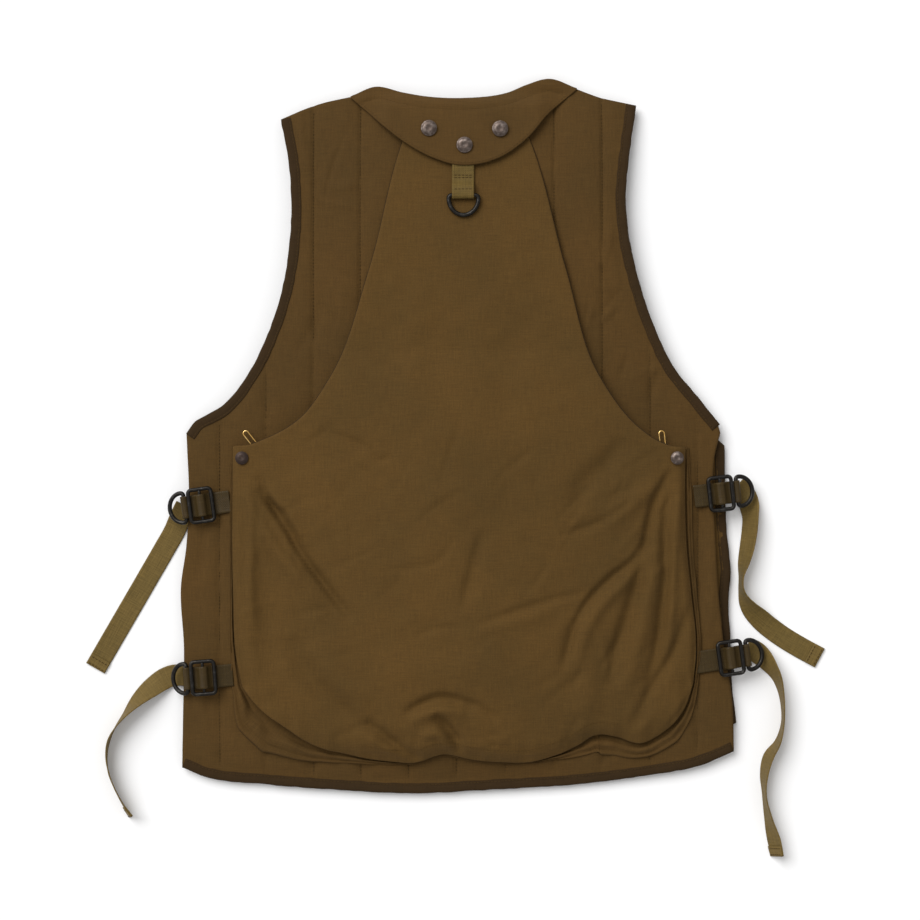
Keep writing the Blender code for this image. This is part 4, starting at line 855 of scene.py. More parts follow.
quilt_rows = []
for x in QUILT_LINES:
    ys = np.arange(-0.350, 0.345, 0.003)
    kept = ys[inside_back(np.full(ys.shape, x), ys)]
    for run in np.split(kept, np.where(np.diff(kept) > 0.01)[0] + 1):
        if len(run) > 3:
            level = back_high(np.full(run.shape, x), run) - 0.0004 - QUILT_DIP * 0.72
            quilt_rows.append(np.c_[np.full(run.shape, x), run, level + 0.0002])
stitches("quilting_stitches", quilt_rows)
print("quilting rows:", len(quilt_rows))


# %% [markdown]
# The pouch cover is one large bell of cloth, sewn in under the yoke and along its sides over a
# pleated wall. It sags and creases under its own weight, so its rim rolls down at the sides and
# the bottom, and long folds run from the press caps towards the middle.
# Cloth like this is usually simulated. Here nothing is simulated: the cover is drawn from its
# outline, and each fold is a soft ridge or valley placed one by one, so that it lies where it is wanted.

# %% The pouch cover's folds
COVER_FOLDS = [
    # line, height, width on its left, width on its right
    ([(-0.206, -0.052), (-0.192, -0.072), (-0.180, -0.088), (-0.166, -0.112), (-0.140, -0.148),
      (-0.112, -0.183)],
     -0.0048, 0.0055, 0.0026),
    ([(-0.219, -0.055), (-0.206, -0.082), (-0.190, -0.108), (-0.160, -0.145), (-0.135, -0.178)],
     0.0026, 0.007, 0.009),
    ([(-0.208, -0.046), (-0.196, -0.058), (-0.180, -0.070), (-0.160, -0.100)], 0.0016, 0.006, 0.004),
    ([(-0.206, -0.040), (-0.198, -0.056), (-0.190, -0.070), (-0.181, -0.084)], -0.0022, 0.0036, 0.0030),
    ([(-0.196, -0.060), (-0.186, -0.074), (-0.172, -0.078)], -0.0014, 0.0030, 0.0032),
    ([(-0.216, -0.042), (-0.211, -0.090), (-0.213, -0.150), (-0.208, -0.200)], 0.0016, 0.0050, 0.0045),
    ([(-0.200, -0.100), (-0.195, -0.170), (-0.185, -0.230)], -0.0022, 0.012, 0.012),
    ([(-0.218, -0.150), (-0.212, -0.220), (-0.196, -0.262)], 0.0016, 0.008, 0.012),
    ([(-0.172, -0.200), (-0.150, -0.245), (-0.122, -0.272), (-0.090, -0.298)], -0.0030, 0.010, 0.012),
    ([(-0.150, -0.205), (-0.128, -0.240), (-0.095, -0.268)], 0.0018, 0.012, 0.009),
    ([(-0.098, -0.284), (-0.080, -0.298), (-0.062, -0.312), (-0.045, -0.322)], -0.0034, 0.005, 0.0045),
    ([(-0.110, -0.292), (-0.085, -0.308), (-0.060, -0.318)], 0.0018, 0.004, 0.005),
    ([(-0.060, -0.276), (-0.044, -0.266), (-0.026, -0.259), (-0.004, -0.262), (0.012, -0.268)],
     -0.0032, 0.0035, 0.007),
    ([(-0.056, -0.284), (-0.038, -0.276), (-0.020, -0.272), (0.002, -0.276)], 0.0026, 0.005, 0.006),
    ([(-0.030, -0.276), (-0.018, -0.288), (-0.008, -0.302), (-0.004, -0.318)], -0.0046, 0.0045, 0.0055),
    ([(-0.044, -0.300), (-0.026, -0.296), (-0.014, -0.312)], 0.0024, 0.004, 0.004),
    ([(0.004, -0.288), (0.014, -0.298), (0.040, -0.310), (0.085, -0.3105)], -0.0012, 0.002, 0.002),
    ([(0.000, -0.264), (0.018, -0.270), (0.034, -0.284)], -0.0018, 0.004, 0.004),
    ([(-0.048, -0.196), (-0.026, -0.190), (-0.002, -0.189)], -0.0010, 0.0028, 0.0040),
    ([(0.010, -0.188), (0.040, -0.178), (0.080, -0.165), (0.122, -0.155)], -0.0016, 0.0040, 0.0028),
    ([(0.012, -0.196), (0.050, -0.185), (0.090, -0.176)], 0.0010, 0.006, 0.006),
    ([(0.180, -0.100), (0.172, -0.118), (0.146, -0.140), (0.121, -0.166), (0.108, -0.190)],
     -0.0034, 0.0085, 0.0030),
    ([(0.112, -0.182), (0.106, -0.205), (0.099, -0.232)], -0.0028, 0.003, 0.0065),
    ([(0.184, -0.112), (0.160, -0.144), (0.134, -0.172), (0.118, -0.204), (0.112, -0.236)],
     0.0024, 0.006, 0.010),
    ([(0.206, -0.034), (0.190, -0.062), (0.182, -0.094), (0.178, -0.122)], -0.0034, 0.006, 0.0035),
    ([(0.196, -0.044), (0.178, -0.060), (0.160, -0.074), (0.140, -0.088)], 0.0020, 0.007, 0.010),
    ([(0.178, -0.120), (0.168, -0.160), (0.152, -0.210), (0.144, -0.250)], -0.0034, 0.008, 0.006),
    ([(0.190, -0.110), (0.184, -0.160), (0.172, -0.215), (0.160, -0.258)], 0.0026, 0.008, 0.008),
    ([(0.208, -0.042), (0.201, -0.075), (0.200, -0.140), (0.192, -0.205), (0.180, -0.262)],
     -0.0028, 0.006, 0.005),
    ([(0.214, -0.050), (0.210, -0.110), (0.207, -0.170), (0.203, -0.225)], 0.0020, 0.005, 0.005),
    ([(0.226, -0.170), (0.206, -0.220), (0.184, -0.258), (0.168, -0.288)], -0.0026, 0.006, 0.005),
    ([(0.160, -0.002), (0.143, -0.026), (0.118, -0.048), (0.108, -0.075)], -0.0024, 0.012, 0.010),
    ([(0.168, -0.064), (0.132, -0.086), (0.094, -0.099)], -0.0014, 0.005, 0.003),
    ([(0.020, -0.092), (0.012, -0.118), (0.003, -0.152), (-0.002, -0.175)], -0.0018, 0.009, 0.005),
    ([(-0.084, -0.134), (-0.050, -0.131), (-0.030, -0.127), (-0.006, -0.098)], -0.0007, 0.004, 0.003),
    ([(-0.134, 0.004), (-0.112, -0.004), (-0.090, -0.014)], -0.0013, 0.003, 0.004),
    ([(-0.094, -0.012), (-0.084, -0.024), (-0.072, -0.020)], -0.0010, 0.003, 0.003),
    ([(-0.060, -0.040), (-0.020, -0.060), (0.040, -0.052)], 0.0012, 0.020, 0.020),
    ([(0.056, 0.120), (0.040, 0.060), (0.048, 0.000)], -0.0012, 0.018, 0.018),
    ([(-0.040, 0.160), (-0.052, 0.090), (-0.046, 0.020)], 0.0012, 0.018, 0.018),
    ([(0.020, 0.150), (0.036, 0.140), (0.048, 0.128)], 0.0007, 0.003, 0.004),
    ([(-0.150, -0.030), (-0.120, -0.100), (-0.075, -0.150)], 0.0016, 0.020, 0.016),
    ([(0.120, -0.215), (0.126, -0.250), (0.118, -0.280)], 0.0016, 0.010, 0.012),
    ([(-0.090, -0.225), (-0.030, -0.232), (0.040, -0.226)], 0.0014, 0.016, 0.020),
]


FOLD_GAIN = 1.75


def cover_relief(x, y):
    total = 0.0009 * waves(x, y, 21, 0.110) + 0.00030 * waves(x, y, 22, 0.034)
    total = total + creases(x, y, 71, 46, (-0.21, 0.20, -0.30, 0.04), 0.5, 0.0009)
    total = total + creases(x, y, 72, 26, (-0.21, -0.10, -0.26, 0.0), -0.9, 0.0012)
    total = total + creases(x, y, 73, 30, (0.10, 0.21, -0.29, -0.01), 1.2, 0.0012)
    total = total + creases(x, y, 74, 30, (-0.13, 0.19, -0.325, -0.27), 0.2, 0.0011)
    for line, height, left, right in COVER_FOLDS:
        total = total + fold(x, y, line, height * FOLD_GAIN, left, right)
    return total * (1 - 0.85 * ease(y, 0.17, 0.22))


# %% The pouch cover
SIDE_ROLL, BOTTOM_ROLL, EDGE_ROLL = 0.0075, 0.0170, 0.0026
cover_left = joined(curve_through(COVER_SIDE_LEFT, 84), curve_through(COVER_EDGE_LEFT, 120))
cover_right = joined(curve_through(COVER_SIDE_RIGHT, 84), curve_through(COVER_EDGE_RIGHT, 120))
cover_bottom = curve_through(COVER_BOTTOM, 190)
bottom_way = side_of(cover_bottom)
wobble = 0.0007 * np.sin(np.linspace(0, 1, 191) * 60) * np.sin(np.linspace(0, math.pi, 191))
cover_bottom = cover_bottom + bottom_way * wobble[:, None]
cover_top = curve_through([cover_left[-1], cover_right[-1]], 190)
cover_net = between_evened(cover_bottom, cover_right, cover_top, cover_left)
cx, cy = cover_net[..., 0], cover_net[..., 1]


def cover_surface(x, y):
    """The upper face of the pouch cover: its folds, and its rim rolled down to the pleated wall."""
    side_away = np.minimum(distance_to(x, y, curve_through(COVER_SIDE_LEFT, 6))[0],
                           distance_to(x, y, curve_through(COVER_SIDE_RIGHT, 6))[0])
    bottom_away = distance_to(x, y, curve_through(COVER_BOTTOM, 30))[0]
    slant_away = np.minimum(distance_to(x, y, curve_through(COVER_EDGE_LEFT, 30))[0],
                            distance_to(x, y, curve_through(COVER_EDGE_RIGHT, 30))[0])
    height = cover_high(x, y) + 0.0004
    room = height - back_high(x, y)
    drop_side = np.clip(1 - side_away / SIDE_ROLL, 0, 1) ** 2 * (room - 0.0062)
    lifted = 0.0060 * np.exp(-(np.hypot(x + 0.190, y + 0.280) / 0.05) ** 2)
    drop_bottom = np.clip(1 - bottom_away / BOTTOM_ROLL, 0, 1) ** 2 * np.maximum(room - 0.0078 - lifted, 0.0)
    drop_slant = np.clip(1 - slant_away / EDGE_ROLL, 0, 1) ** 2 * 0.0005
    calm = np.clip(np.minimum(np.minimum(side_away, bottom_away) / 0.006 + 0.25, slant_away / 0.020), 0, 1)
    gathers = 0.0014 * waves(x, y * 0.3, 31, 0.021, 9) * np.exp(-(bottom_away / 0.024) ** 2)
    return height - np.maximum(drop_side, drop_bottom) - drop_slant + cover_relief(x, y) * calm + gathers


COVER_WALL = 0.0012
cover = panel("pouch_cover_cloth", cover_net, cover_surface(cx, cy), COVER_WALL, SHELL,
              stands_for=("pouch_cover",))
print("pouch cover:", len(cover.data.vertices), "points,", len(COVER_FOLDS), "folds")


# %% The two fronts
def front_outline(side):
    """A front's edges: along the hem, up the outside, and up the zip and the neck."""
    outer = joined(curve_through(FRONT_SIDE[side], 60), curve_through(FRONT_ARMHOLE[side], 66))
    hem = curve_through(FRONT_HEM[side], 60)
    centre = curve_through([hem[-1], FRONT_NECK[side][0]], 90)
    inner = joined(centre, curve_through(FRONT_NECK[side], 36))
    return outer, hem, inner


fronts = {}
for side, sign in (("left", -1), ("right", 1)):
    outer, hem, inner = front_outline(side)
    top = curve_through([outer[-1], inner[-1]], 60)
    if sign < 0:
        net = between(hem, inner, top, outer)
    else:
        net = between(hem[::-1], outer, top[::-1], inner)
    fx, fy = net[..., 0], net[..., 1]
    level = front_low(fx, fy) + FRONT_THICK - 0.0002
    level += quilted(fx, fy, 7) * 0.4 * ease(np.abs(np.abs(fx) - 0.272), 0.0, 0.02)
    fronts[side] = panel("front_" + side, net, np.maximum(level, 0.0041), FRONT_THICK, SHELL,
                         stands_for=("front_panel_" + side,), round_rim=0.1)
print("fronts:", list(fronts))


# %% [markdown]
# Bindings. A folded tape closes each raw edge: it wraps over the rim, is stitched through near its
# inner edge, and ripples where the edge curves. Each is swept along its edge from a flat U section.
# The pouch's slanted openings have a narrow tape of the same kind just inside, unstitched, which shows as a
# thin dark line: painted shadow, a dark strip standing in for the shade under the cover's edge. Nobody can
# see how the real openings are faced, so this tape is a guess.

# %% Bound edges
BIND_WIDTH, BIND_PROUD = 0.0094, 0.0006


def bound_edge(name, edge, inward, low, high, body="vest", seed=5, width=BIND_WIDTH, over=0.0011,
               proud=BIND_PROUD, finish=TAPE_CLOTH, ripple=1.0, stands_for=(), sewn=True):
    """A binding along an edge; inward is +1 if its cloth lies to the left of the edge, else -1."""
    run = run_of(edge)
    way = side_of(edge) * inward
    dice = np.random.default_rng(seed)
    knots = np.arange(0, run[-1] + 0.02, 0.0065)
    swell = np.interp(run, knots, dice.uniform(-1, 1, len(knots)))
    nudge = np.interp(run, knots, dice.uniform(-1, 1, len(knots)))
    outside = -over + 0.00035 * nudge * ripple
    inside = width + 0.0004 * swell * ripple
    section = [(0.0, 0.5), (0.05, 0.85), (0.16, 1.0), (0.40, 1.0), (0.70, 0.98), (0.78, 0.90), (0.86, 0.97),
               (0.97, 0.94), (1.0, 0.5), (0.97, 0.06), (0.70, 0.0), (0.16, 0.0), (0.05, 0.15)]
    rows, pattern = [], []
    for across, up in section:
        reach = outside + (inside - outside) * across
        at = edge + way * reach[:, None]
        x, y = at[:, 0], at[:, 1]
        bottom, top = low(x, y) - proud, high(x, y) + proud
        puff = (0.00045 * swell * ripple + 0.0002 * np.sin(run * 900)) * (up > 0.5)
        puff = puff * np.sin(math.pi * min(across * 1.1, 1))
        rows.append(np.c_[at, bottom + (top - bottom) * up + puff])
        pattern.append(np.c_[np.full(len(run), across * width + (0.0 if up > 0.4 else -0.012)), run])
    count = len(section)
    points = np.stack(rows, axis=1).reshape(-1, 3)
    flat = np.stack(pattern, axis=1).reshape(-1, 2)
    made = piece(name, points, tube_faces(len(edge), count), flat, finish, body, stands_for)
    if sewn:
        row = edge + way * (width * 0.78)
        above = high(row[:, 0], row[:, 1]) + proud * 0.45
        stitches(name + "_stitches", [np.c_[row, above]], body)
    return made


hem_line = curve_through(HEM, 190)
bound_edge("bound_hem", hem_line, 1, back_low, back_high, stands_for=("binding_hem",), seed=11)
bound_edge("bound_armhole_left", curve_through(ARMHOLE_LEFT, 130), 1, back_low, back_high, seed=12,
           stands_for=("binding_armhole_left",))
bound_edge("bound_armhole_right", curve_through(ARMHOLE_RIGHT, 130), -1, back_low, back_high, seed=13,
           stands_for=("binding_armhole_right",))


def front_high(x, y):
    return front_low(x, y) + FRONT_THICK


for side, sign in (("left", -1), ("right", 1)):
    edge = joined(curve_through(FRONT_HEM[side][::-1], 90), curve_through(FRONT_SIDE[side], 90),
                  curve_through(FRONT_ARMHOLE[side], 110))
    bound_edge("bound_front_" + side, edge, sign, front_low, front_high, seed=15 + sign,
               stands_for=("binding_front_" + side,))


def facing_top(x, y):
    return back_low(x, y) - LAY


def facing_low(x, y):
    return facing_top(x, y) - 0.0008


neck_line = curve_through(NECK[1:-1], 90)
bound_edge("neck_facing_tape", neck_line, -1, facing_low, facing_top, seed=19, width=0.021, over=-0.0012,
           proud=0.0, stands_for=("neck_facing",), ripple=0.4)

loop_run = np.linspace(-1, 1, 41)
loop_xy = np.c_[0.028 * loop_run, 0.3045 - 0.016 * (1 - loop_run ** 2)]
loop_z = back_low(loop_xy[:, 0], loop_xy[:, 1]) - 2 * LAY - WEB_THICK / 2
webbing("hanger", np.c_[loop_xy, loop_z], np.c_[side_of(loop_xy), np.zeros(41)], 0.006, WEB_THICK, WEBBING,
        stands_for=("hanger_loop",))
print("bound edges, neck facing and hanger loop made")


# %% The dark tape inside the cover's slanted edges, a painted shadow line
def cover_underside(x, y):
    return cover_surface(x, y) - COVER_WALL - 0.0001


def shadow_tape_low(x, y):
    return cover_underside(x, y) - 0.0005


for side, inward, line in (("left", -1, COVER_EDGE_LEFT), ("right", 1, COVER_EDGE_RIGHT)):
    edge = curve_through(line, 150)[7:-10]
    bound_edge("painted_shadow_tape_" + side, edge, inward, shadow_tape_low, cover_underside, seed=23, width=0.009,
               over=0.0012, proud=0.0, ripple=0.5, sewn=False)


# %% [markdown]
# The pleated wall. The pouch can open out because its wall is folded in a bellows, and pressed flat
# the folds peep out past the cover: a little at the sides, and far more at the two lower corners.

# %% The pouch's pleated wall
wall_edge = joined(curve_through(COVER_SIDE_LEFT[::-1], 90), cover_bottom,
                   curve_through(COVER_SIDE_RIGHT, 90))
wall_run = run_of(wall_edge) / run_of(wall_edge)[-1]
wall_out = -side_of(wall_edge)
LIPS = [(-0.2310, -0.0105, 0.0022), (-0.2305, -0.1540, 0.0035), (-0.2270, -0.2220, 0.0065),
        (-0.2215, -0.2500, 0.0120), (-0.2040, -0.2715, 0.0310), (-0.1820, -0.2880, 0.0350),
        (-0.1600, -0.3030, 0.0240), (-0.1390, -0.3125, 0.0145), (-0.1000, -0.3210, 0.0075),
        (-0.0540, -0.3265, 0.0025), (0.0610, -0.3255, 0.0025), (0.0900, -0.3200, 0.0050),
        (0.1120, -0.3090, 0.0130), (0.1320, -0.2985, 0.0220), (0.1520, -0.3000, 0.0210),
        (0.1770, -0.3065, 0.0160), (0.2030, -0.2925, 0.0170), (0.2210, -0.2700, 0.0100),
        (0.2290, -0.2460, 0.0060), (0.2316, -0.2120, 0.0055), (0.2220, -0.1100, 0.0075),
        (0.2205, -0.0600, 0.0080), (0.2210, -0.0115, 0.0040)]
lip_at = [wall_run[np.argmin(np.hypot(wall_edge[:, 0] - x, wall_edge[:, 1] - y))] for x, y, reach in LIPS]
lip = np.interp(wall_run, lip_at, [reach for x, y, reach in LIPS])
dice = np.random.default_rng(41)
crumple = np.interp(wall_run, np.linspace(0, 1, 90), dice.uniform(-1, 1, 90))
PLEATS = [(-0.30, 0.90), (-0.02, 0.50), (0.02, 0.10), (0.20, 0.04), (0.29, 0.28), (0.36, 0.66), (0.46, 0.80),
          (0.58, 0.62), (0.72, 0.26), (0.80, 0.28), (0.88, 0.40), (0.95, 0.38), (1.0, 0.22), (0.94, 0.06),
          (0.60, 0.02), (-0.30, 0.0)]
gaping = np.exp(-(np.hypot(wall_edge[:, 0] + 0.190, wall_edge[:, 1] + 0.284) / 0.030) ** 2)
outer_rows = []
for share, rise in PLEATS:
    reach = lip * share * (1 + 0.10 * crumple * (rise > 0.5)) - 0.0020 * (share < 0)
    at = wall_edge + wall_out * reach[:, None]
    foot = back_high(at[:, 0], at[:, 1]) + LAY
    roof = np.maximum(cover_surface(wall_edge[:, 0], wall_edge[:, 1]) - 0.0022, foot + 0.0050)
    sag = 0.0009 * np.roll(crumple, int(share * 9)) * (0.2 < rise < 0.9)
    if 0.1 < share < 0.5:
        rise = rise * (1 - 0.75 * gaping)
    outer_rows.append(np.c_[at, foot + (roof - foot) * rise + sag])
outer = np.stack(outer_rows, axis=1)
step = np.gradient(outer, axis=1)
step /= np.linalg.norm(step, axis=2)[..., None]
along = np.gradient(outer, axis=0)
along /= np.linalg.norm(along, axis=2)[..., None]
skin = np.cross(along, step)
inner = outer - skin * 0.0009 * np.sign((skin[:, 12, :2] * wall_out).sum(axis=1))[:, None, None]
ring = np.concatenate([outer, inner[:, ::-1]], axis=1)
across = np.arange(len(PLEATS)) * 0.004
wall_flat = np.stack([np.broadcast_to(np.r_[across, across[::-1]], ring.shape[:2]),
                      np.broadcast_to(run_of(wall_edge)[:, None], ring.shape[:2])], axis=2)
wall = piece("pouch_wall", ring.reshape(-1, 3), tube_faces(len(ring), ring.shape[1]),
             wall_flat.reshape(-1, 2), QUILT_CLOTH, stands_for=("pouch_gusset",))
print("pouch wall:", len(wall.data.vertices), "points")


# %% [markdown]
# Stitching on the cover: its slanted edges are turned under with nothing to be seen, and the hem's
# row shows a little way in from the bottom.

# %% The cover's stitching
def on_cover(line, inset):
    at = line + side_of(line) * inset
    return np.c_[at, cover_surface(at[:, 0], at[:, 1]) + 0.00005]


cover_rows = [on_cover(cover_bottom[52:150], 0.0125)]
cover_sewn = stitches("cover_stitches", cover_rows, finish=SHELL, radius=0.00028)
print("cover rows:", len(cover_rows))


# %% [markdown]
# The yoke. A shaped flap is sewn along the neck and pressed shut over the top of the pouch cover by
# three caps. It is one cloth, made as one piece.

# %% The yoke
yoke_bottom = curve_through([(-0.1135, 0.3400)] + YOKE_EDGE[1:-1] + [(0.1120, 0.3475)], 140)
yoke_top = curve_through(NECK, 140)
yoke_left = curve_through([yoke_bottom[0], yoke_top[0]], 30)
yoke_right = curve_through([yoke_bottom[-1], yoke_top[-1]], 30)
yoke_net = between(yoke_bottom, yoke_right, yoke_top, yoke_left)


def yoke_surface(x, y):
    rim_away = distance_to(x, y, yoke_top[::6])[0]
    edge_away = distance_to(x, y, yoke_bottom[::6])[0]
    tidy = np.clip(np.minimum(rim_away, edge_away) / 0.01, 0, 1)
    relief = 0.0005 * waves(x, y, 51, 0.05) * tidy + 0.0006 * np.exp(-((rim_away - 0.005) / 0.004) ** 2)
    relief = relief - 0.0007 * np.exp(-((rim_away - 0.011) / 0.0018) ** 2)
    return yoke_high(x, y) + 0.0003 + relief + 0.0003 * np.exp(-(edge_away / 0.004) ** 2)


yx, yy = yoke_net[..., 0], yoke_net[..., 1]
yoke = panel("yoke", yoke_net, yoke_surface(yx, yy), 0.0017, YOKE_CLOTH, body=None,
             stands_for=("yoke_strip", "yoke_flap"))
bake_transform(yoke)


def on_yoke(line, inset):
    at = line + side_of(line) * inset
    return np.c_[at, yoke_surface(at[:, 0], at[:, 1])]


yoke_rows = [on_yoke(yoke_bottom[6:-6], 0.0018), on_yoke(yoke_top[8:-8], -0.0110)]
yoke_sewn = stitches("yoke_stitches", yoke_rows, body=None, finish=YOKE_CLOTH,
                     radius=0.00028)
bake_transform(yoke_sewn)
print("yoke:", len(yoke.data.vertices), "points")


# %% [markdown]
# Round metal. Press caps are turned like a small domed lid with a rolled rim; rings and buckles are
# bent from round wire and welded shut, so each is one tube along a closed line.

# %% Turned caps and bent wire
def turned(name, place, profile, finish, body, stands_for=(), steps=40, upside=1):
    """A round piece from a profile of (radius, height) outward from its top centre."""
    profile = np.asarray(profile, float)
    turns = np.linspace(0, math.tau, steps, endpoint=False)
    rows = np.array([[(r * math.cos(a), r * math.sin(a), z * upside) for a in turns] for r, z in profile])
    points = rows.reshape(-1, 3) + np.asarray(place)
    flat = rows.reshape(-1, 3)[:, :2]
    return piece(name, points, tube_faces(len(profile), steps), flat, finish, body, stands_for)


def cap_profile(radius, height):
    shares = [(0.02, 0.88), (0.16, 0.90), (0.30, 0.96), (0.40, 1.0), (0.52, 0.98), (0.68, 0.88), (0.80, 0.72),
              (0.86, 0.60), (0.90, 0.55), (0.95, 0.58), (0.99, 0.46), (1.0, 0.28), (0.985, 0.10), (0.95, 0.0),
              (0.02, 0.0)]
    return [(radius * r, height * z) for r, z in shares]


def bent_wire(name, points, thickness, normal, finish, body, stands_for=(), ring=16):
    """A closed loop of round wire that lies in one plane."""
    points = np.asarray(points, float)
    ahead = np.roll(points, -1, axis=0) - np.roll(points, 1, axis=0)
    ahead /= np.linalg.norm(ahead, axis=1)[:, None]
    up = np.broadcast_to(np.asarray(normal, float), points.shape)
    side = np.cross(ahead, up)
    turns = np.linspace(0, math.tau, ring, endpoint=False)
    section = np.c_[np.cos(turns), np.sin(turns)] * thickness / 2
    run = np.repeat(np.arange(len(points)) * 0.001, ring)
    flat = np.c_[np.tile(turns * thickness / 2, len(points)), run]
    return piece(name, swept(points, side, up, section), tube_faces(len(points), ring, closed=True), flat,
                 finish, body, stands_for)


def smooth_loop(points, count=120):
    """count points evenly round a closed line."""
    closed = np.concatenate([points, points[:1]])
    run = run_of(closed)
    even = np.linspace(0, run[-1], count, endpoint=False)
    return np.stack([np.interp(even, run, closed[:, i]) for i in range(3)], axis=1)


# %% Heights under fittings
def highest(surface, x, y, radius):
    """The surface's highest point under a round foot."""
    turns = np.arange(12) * math.tau / 12
    around = surface(x + radius * np.cos(turns), y + radius * np.sin(turns))
    return float(max(around.max(), surface(np.array(x), np.array(y))))


# %% Press caps
CAP_RADIUS, CAP_HEIGHT, SMALL_CAP = 0.0081, 0.0032, 0.0066
YOKE_SNAPS = [(-0.035, 0.307), (0.036, 0.3065), (0.0005, 0.290)]
# The left pouch cap takes the darker copy of the cap finish, which is painted shade.
POUCH_SNAPS = {"left": (-0.2215, -0.022, SHADED_POUCH_CAP), "right": (0.2125, -0.022, ANTIQUE)}
for number, (x, y) in enumerate(YOKE_SNAPS, 1):
    base = highest(yoke_high, x, y, CAP_RADIUS) + LAY
    turned(f"yoke_cap_{number}", (x, y, base), cap_profile(CAP_RADIUS, CAP_HEIGHT), ANTIQUE, "yoke_flap",
           (f"yoke_snap_{number}",))
for side, (x, y, finish) in POUCH_SNAPS.items():
    base = highest(cover_high, x, y, SMALL_CAP) + LAY
    turned("pouch_cap_" + side, (x, y, base), cap_profile(SMALL_CAP, CAP_HEIGHT * 0.8), finish, "vest",
           ("pouch_snap_" + side,))
for node in ("yoke_stud_1", "yoke_stud_2", "yoke_stud_3", "pouch_stud_left", "pouch_stud_right"):
    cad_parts[node].data.materials[0] = ANTIQUE
print("press caps:", len(YOKE_SNAPS) + len(POUCH_SNAPS))


# %% Shapes of the rings and buckles
RING_WIRE, RING_CORNER = 0.0044, 0.0030


def ring_line(centre, across, down, width, depth):
    """A D-ring's line: its straight bar at the centre, its arc along down."""
    half, reach = (width - RING_WIRE) / 2, depth - RING_WIRE - RING_CORNER
    flat = [(u, 0.0) for u in np.linspace(-half + RING_CORNER, half - RING_CORNER, 24)]
    bend = np.linspace(0, math.pi / 2, 8)[1:-1]
    flat += [(half - RING_CORNER + RING_CORNER * math.sin(a), RING_CORNER * (1 - math.cos(a))) for a in bend]
    flat += [(half * math.cos(a), RING_CORNER + reach * math.sin(a)) for a in np.linspace(0, math.pi, 60)]
    flat += [(-half + RING_CORNER - RING_CORNER * math.sin(a), RING_CORNER * (1 - math.cos(a)))
             for a in bend[::-1]]
    return smooth_loop(np.array([centre + across * u + down * v for u, v in flat]))


def hook_around(bar, radius, start, turn, count):
    """Webbing's way round a bar, as (along, up)."""
    return [(bar[0] + radius * math.cos(start + turn * i / count),
             bar[1] + radius * math.sin(start + turn * i / count)) for i in range(count + 1)]


# %% [markdown]
# The net ring hangs from a short webbing tab between the yoke and the pouch. The tab is folded round
# the ring's bar and stitched down twice.

# %% Net ring and its tab
TAB_X, TAB_TOP_Y, BAR_Y, TAB_SEWN_Y, TAB_WIDTH = -0.001, 0.279, 0.2395, 0.262, 0.022
RING_WIDTH, RING_DEPTH, RUN = 0.034, 0.024, 0.0003


def tab_floor(y):
    shares = np.array([-1, -0.5, 0, 0.5, 1]) * TAB_WIDTH / 2
    return float(cover_high(TAB_X + shares, np.full(5, y)).max()) + LAY


half = WEB_THICK / 2
wrap = RING_WIRE / 2 + RUN + half
bar_z = tab_floor(BAR_Y - wrap) + half + wrap
middle = (TAB_TOP_Y + BAR_Y) / 2 + 0.004
route = [(TAB_TOP_Y, tab_floor(TAB_TOP_Y) + half), (middle, tab_floor(middle) + half),
         (BAR_Y + 0.004, tab_floor(BAR_Y) + half)]
route += hook_around((BAR_Y, bar_z), wrap, -math.pi / 2, -math.pi, 10)
over = tab_floor(TAB_SEWN_Y) + WEB_THICK + LAY + half
route += [(BAR_Y + 0.006, bar_z + 0.9 * wrap), (TAB_SEWN_Y - 0.006, over), (TAB_SEWN_Y, over),
          (TAB_TOP_Y - 0.004, over + 0.0002)]
tab_line = curve_through([(TAB_X, y, z) for y, z in route], 120)
webbing("ring_tab", tab_line, [(1, 0, 0)] * len(tab_line), TAB_WIDTH, WEB_THICK, TAB_WEBBING,
        stands_for=("net_ring_tab",))
tab_rows = []
for y in (0.2600, 0.2575, 0.2455):
    z = np.interp(y, tab_line[-50:, 1], tab_line[-50:, 2]) + half * 0.9
    tab_rows.append([(TAB_X + TAB_WIDTH * s, y, z) for s in (-0.42, 0.42)])
stitches("ring_tab_stitches", tab_rows)

bar = Vector((TAB_X + 0.0005, BAR_Y, bar_z))
reach = RING_DEPTH - RING_WIRE
floor = highest(cover_high, bar.x, BAR_Y - reach, RING_WIRE) + LAY + RING_WIRE / 2
droop = math.asin((bar_z - floor) / reach)
down = Vector((0, -math.cos(droop), -math.sin(droop)))
bent_wire("ring_for_net", ring_line(bar, Vector((1, 0, 0)), down, RING_WIDTH, RING_DEPTH), RING_WIRE,
          Vector((1, 0, 0)).cross(down), GUNMETAL, "net_ring", ("net_ring",))
print("net ring, droop", round(math.degrees(droop), 1))


# %% [markdown]
# Side adjusters. Short webbing, sewn to the back, weaves over and under a slider buckle and is
# looped round a D-ring. The buckle's middle bar grips it, and the strap's loose end leaves the ring.

# %% Side straps, slider buckles and rings
STRAPS = {
    "left_top": ((-0.263, -0.0693), 188.0, -0.2345, 0.0050, 13.0),
    "left_bottom": ((-0.2605, -0.2415), 184.4, -0.2315, 0.0085, 24.0),
    "right_top": ((0.257, -0.0575), 6.5, 0.2305, 0.0050, 13.0),
    "right_bottom": ((0.267, -0.2220), 8.0, 0.2315, 0.0050, 13.0),
}
SLIDER_LENGTH, SLIDER_WIDTH, SLIDER_WIRE, SLIDER_BAR, SLIDER_CORNER = 0.027, 0.0365, 0.004, 0.003, 0.0055
STRAP_WIDTH, SIDE_RING_DEPTH, TILT_ROOM = 0.0222, 0.0204, 0.0012


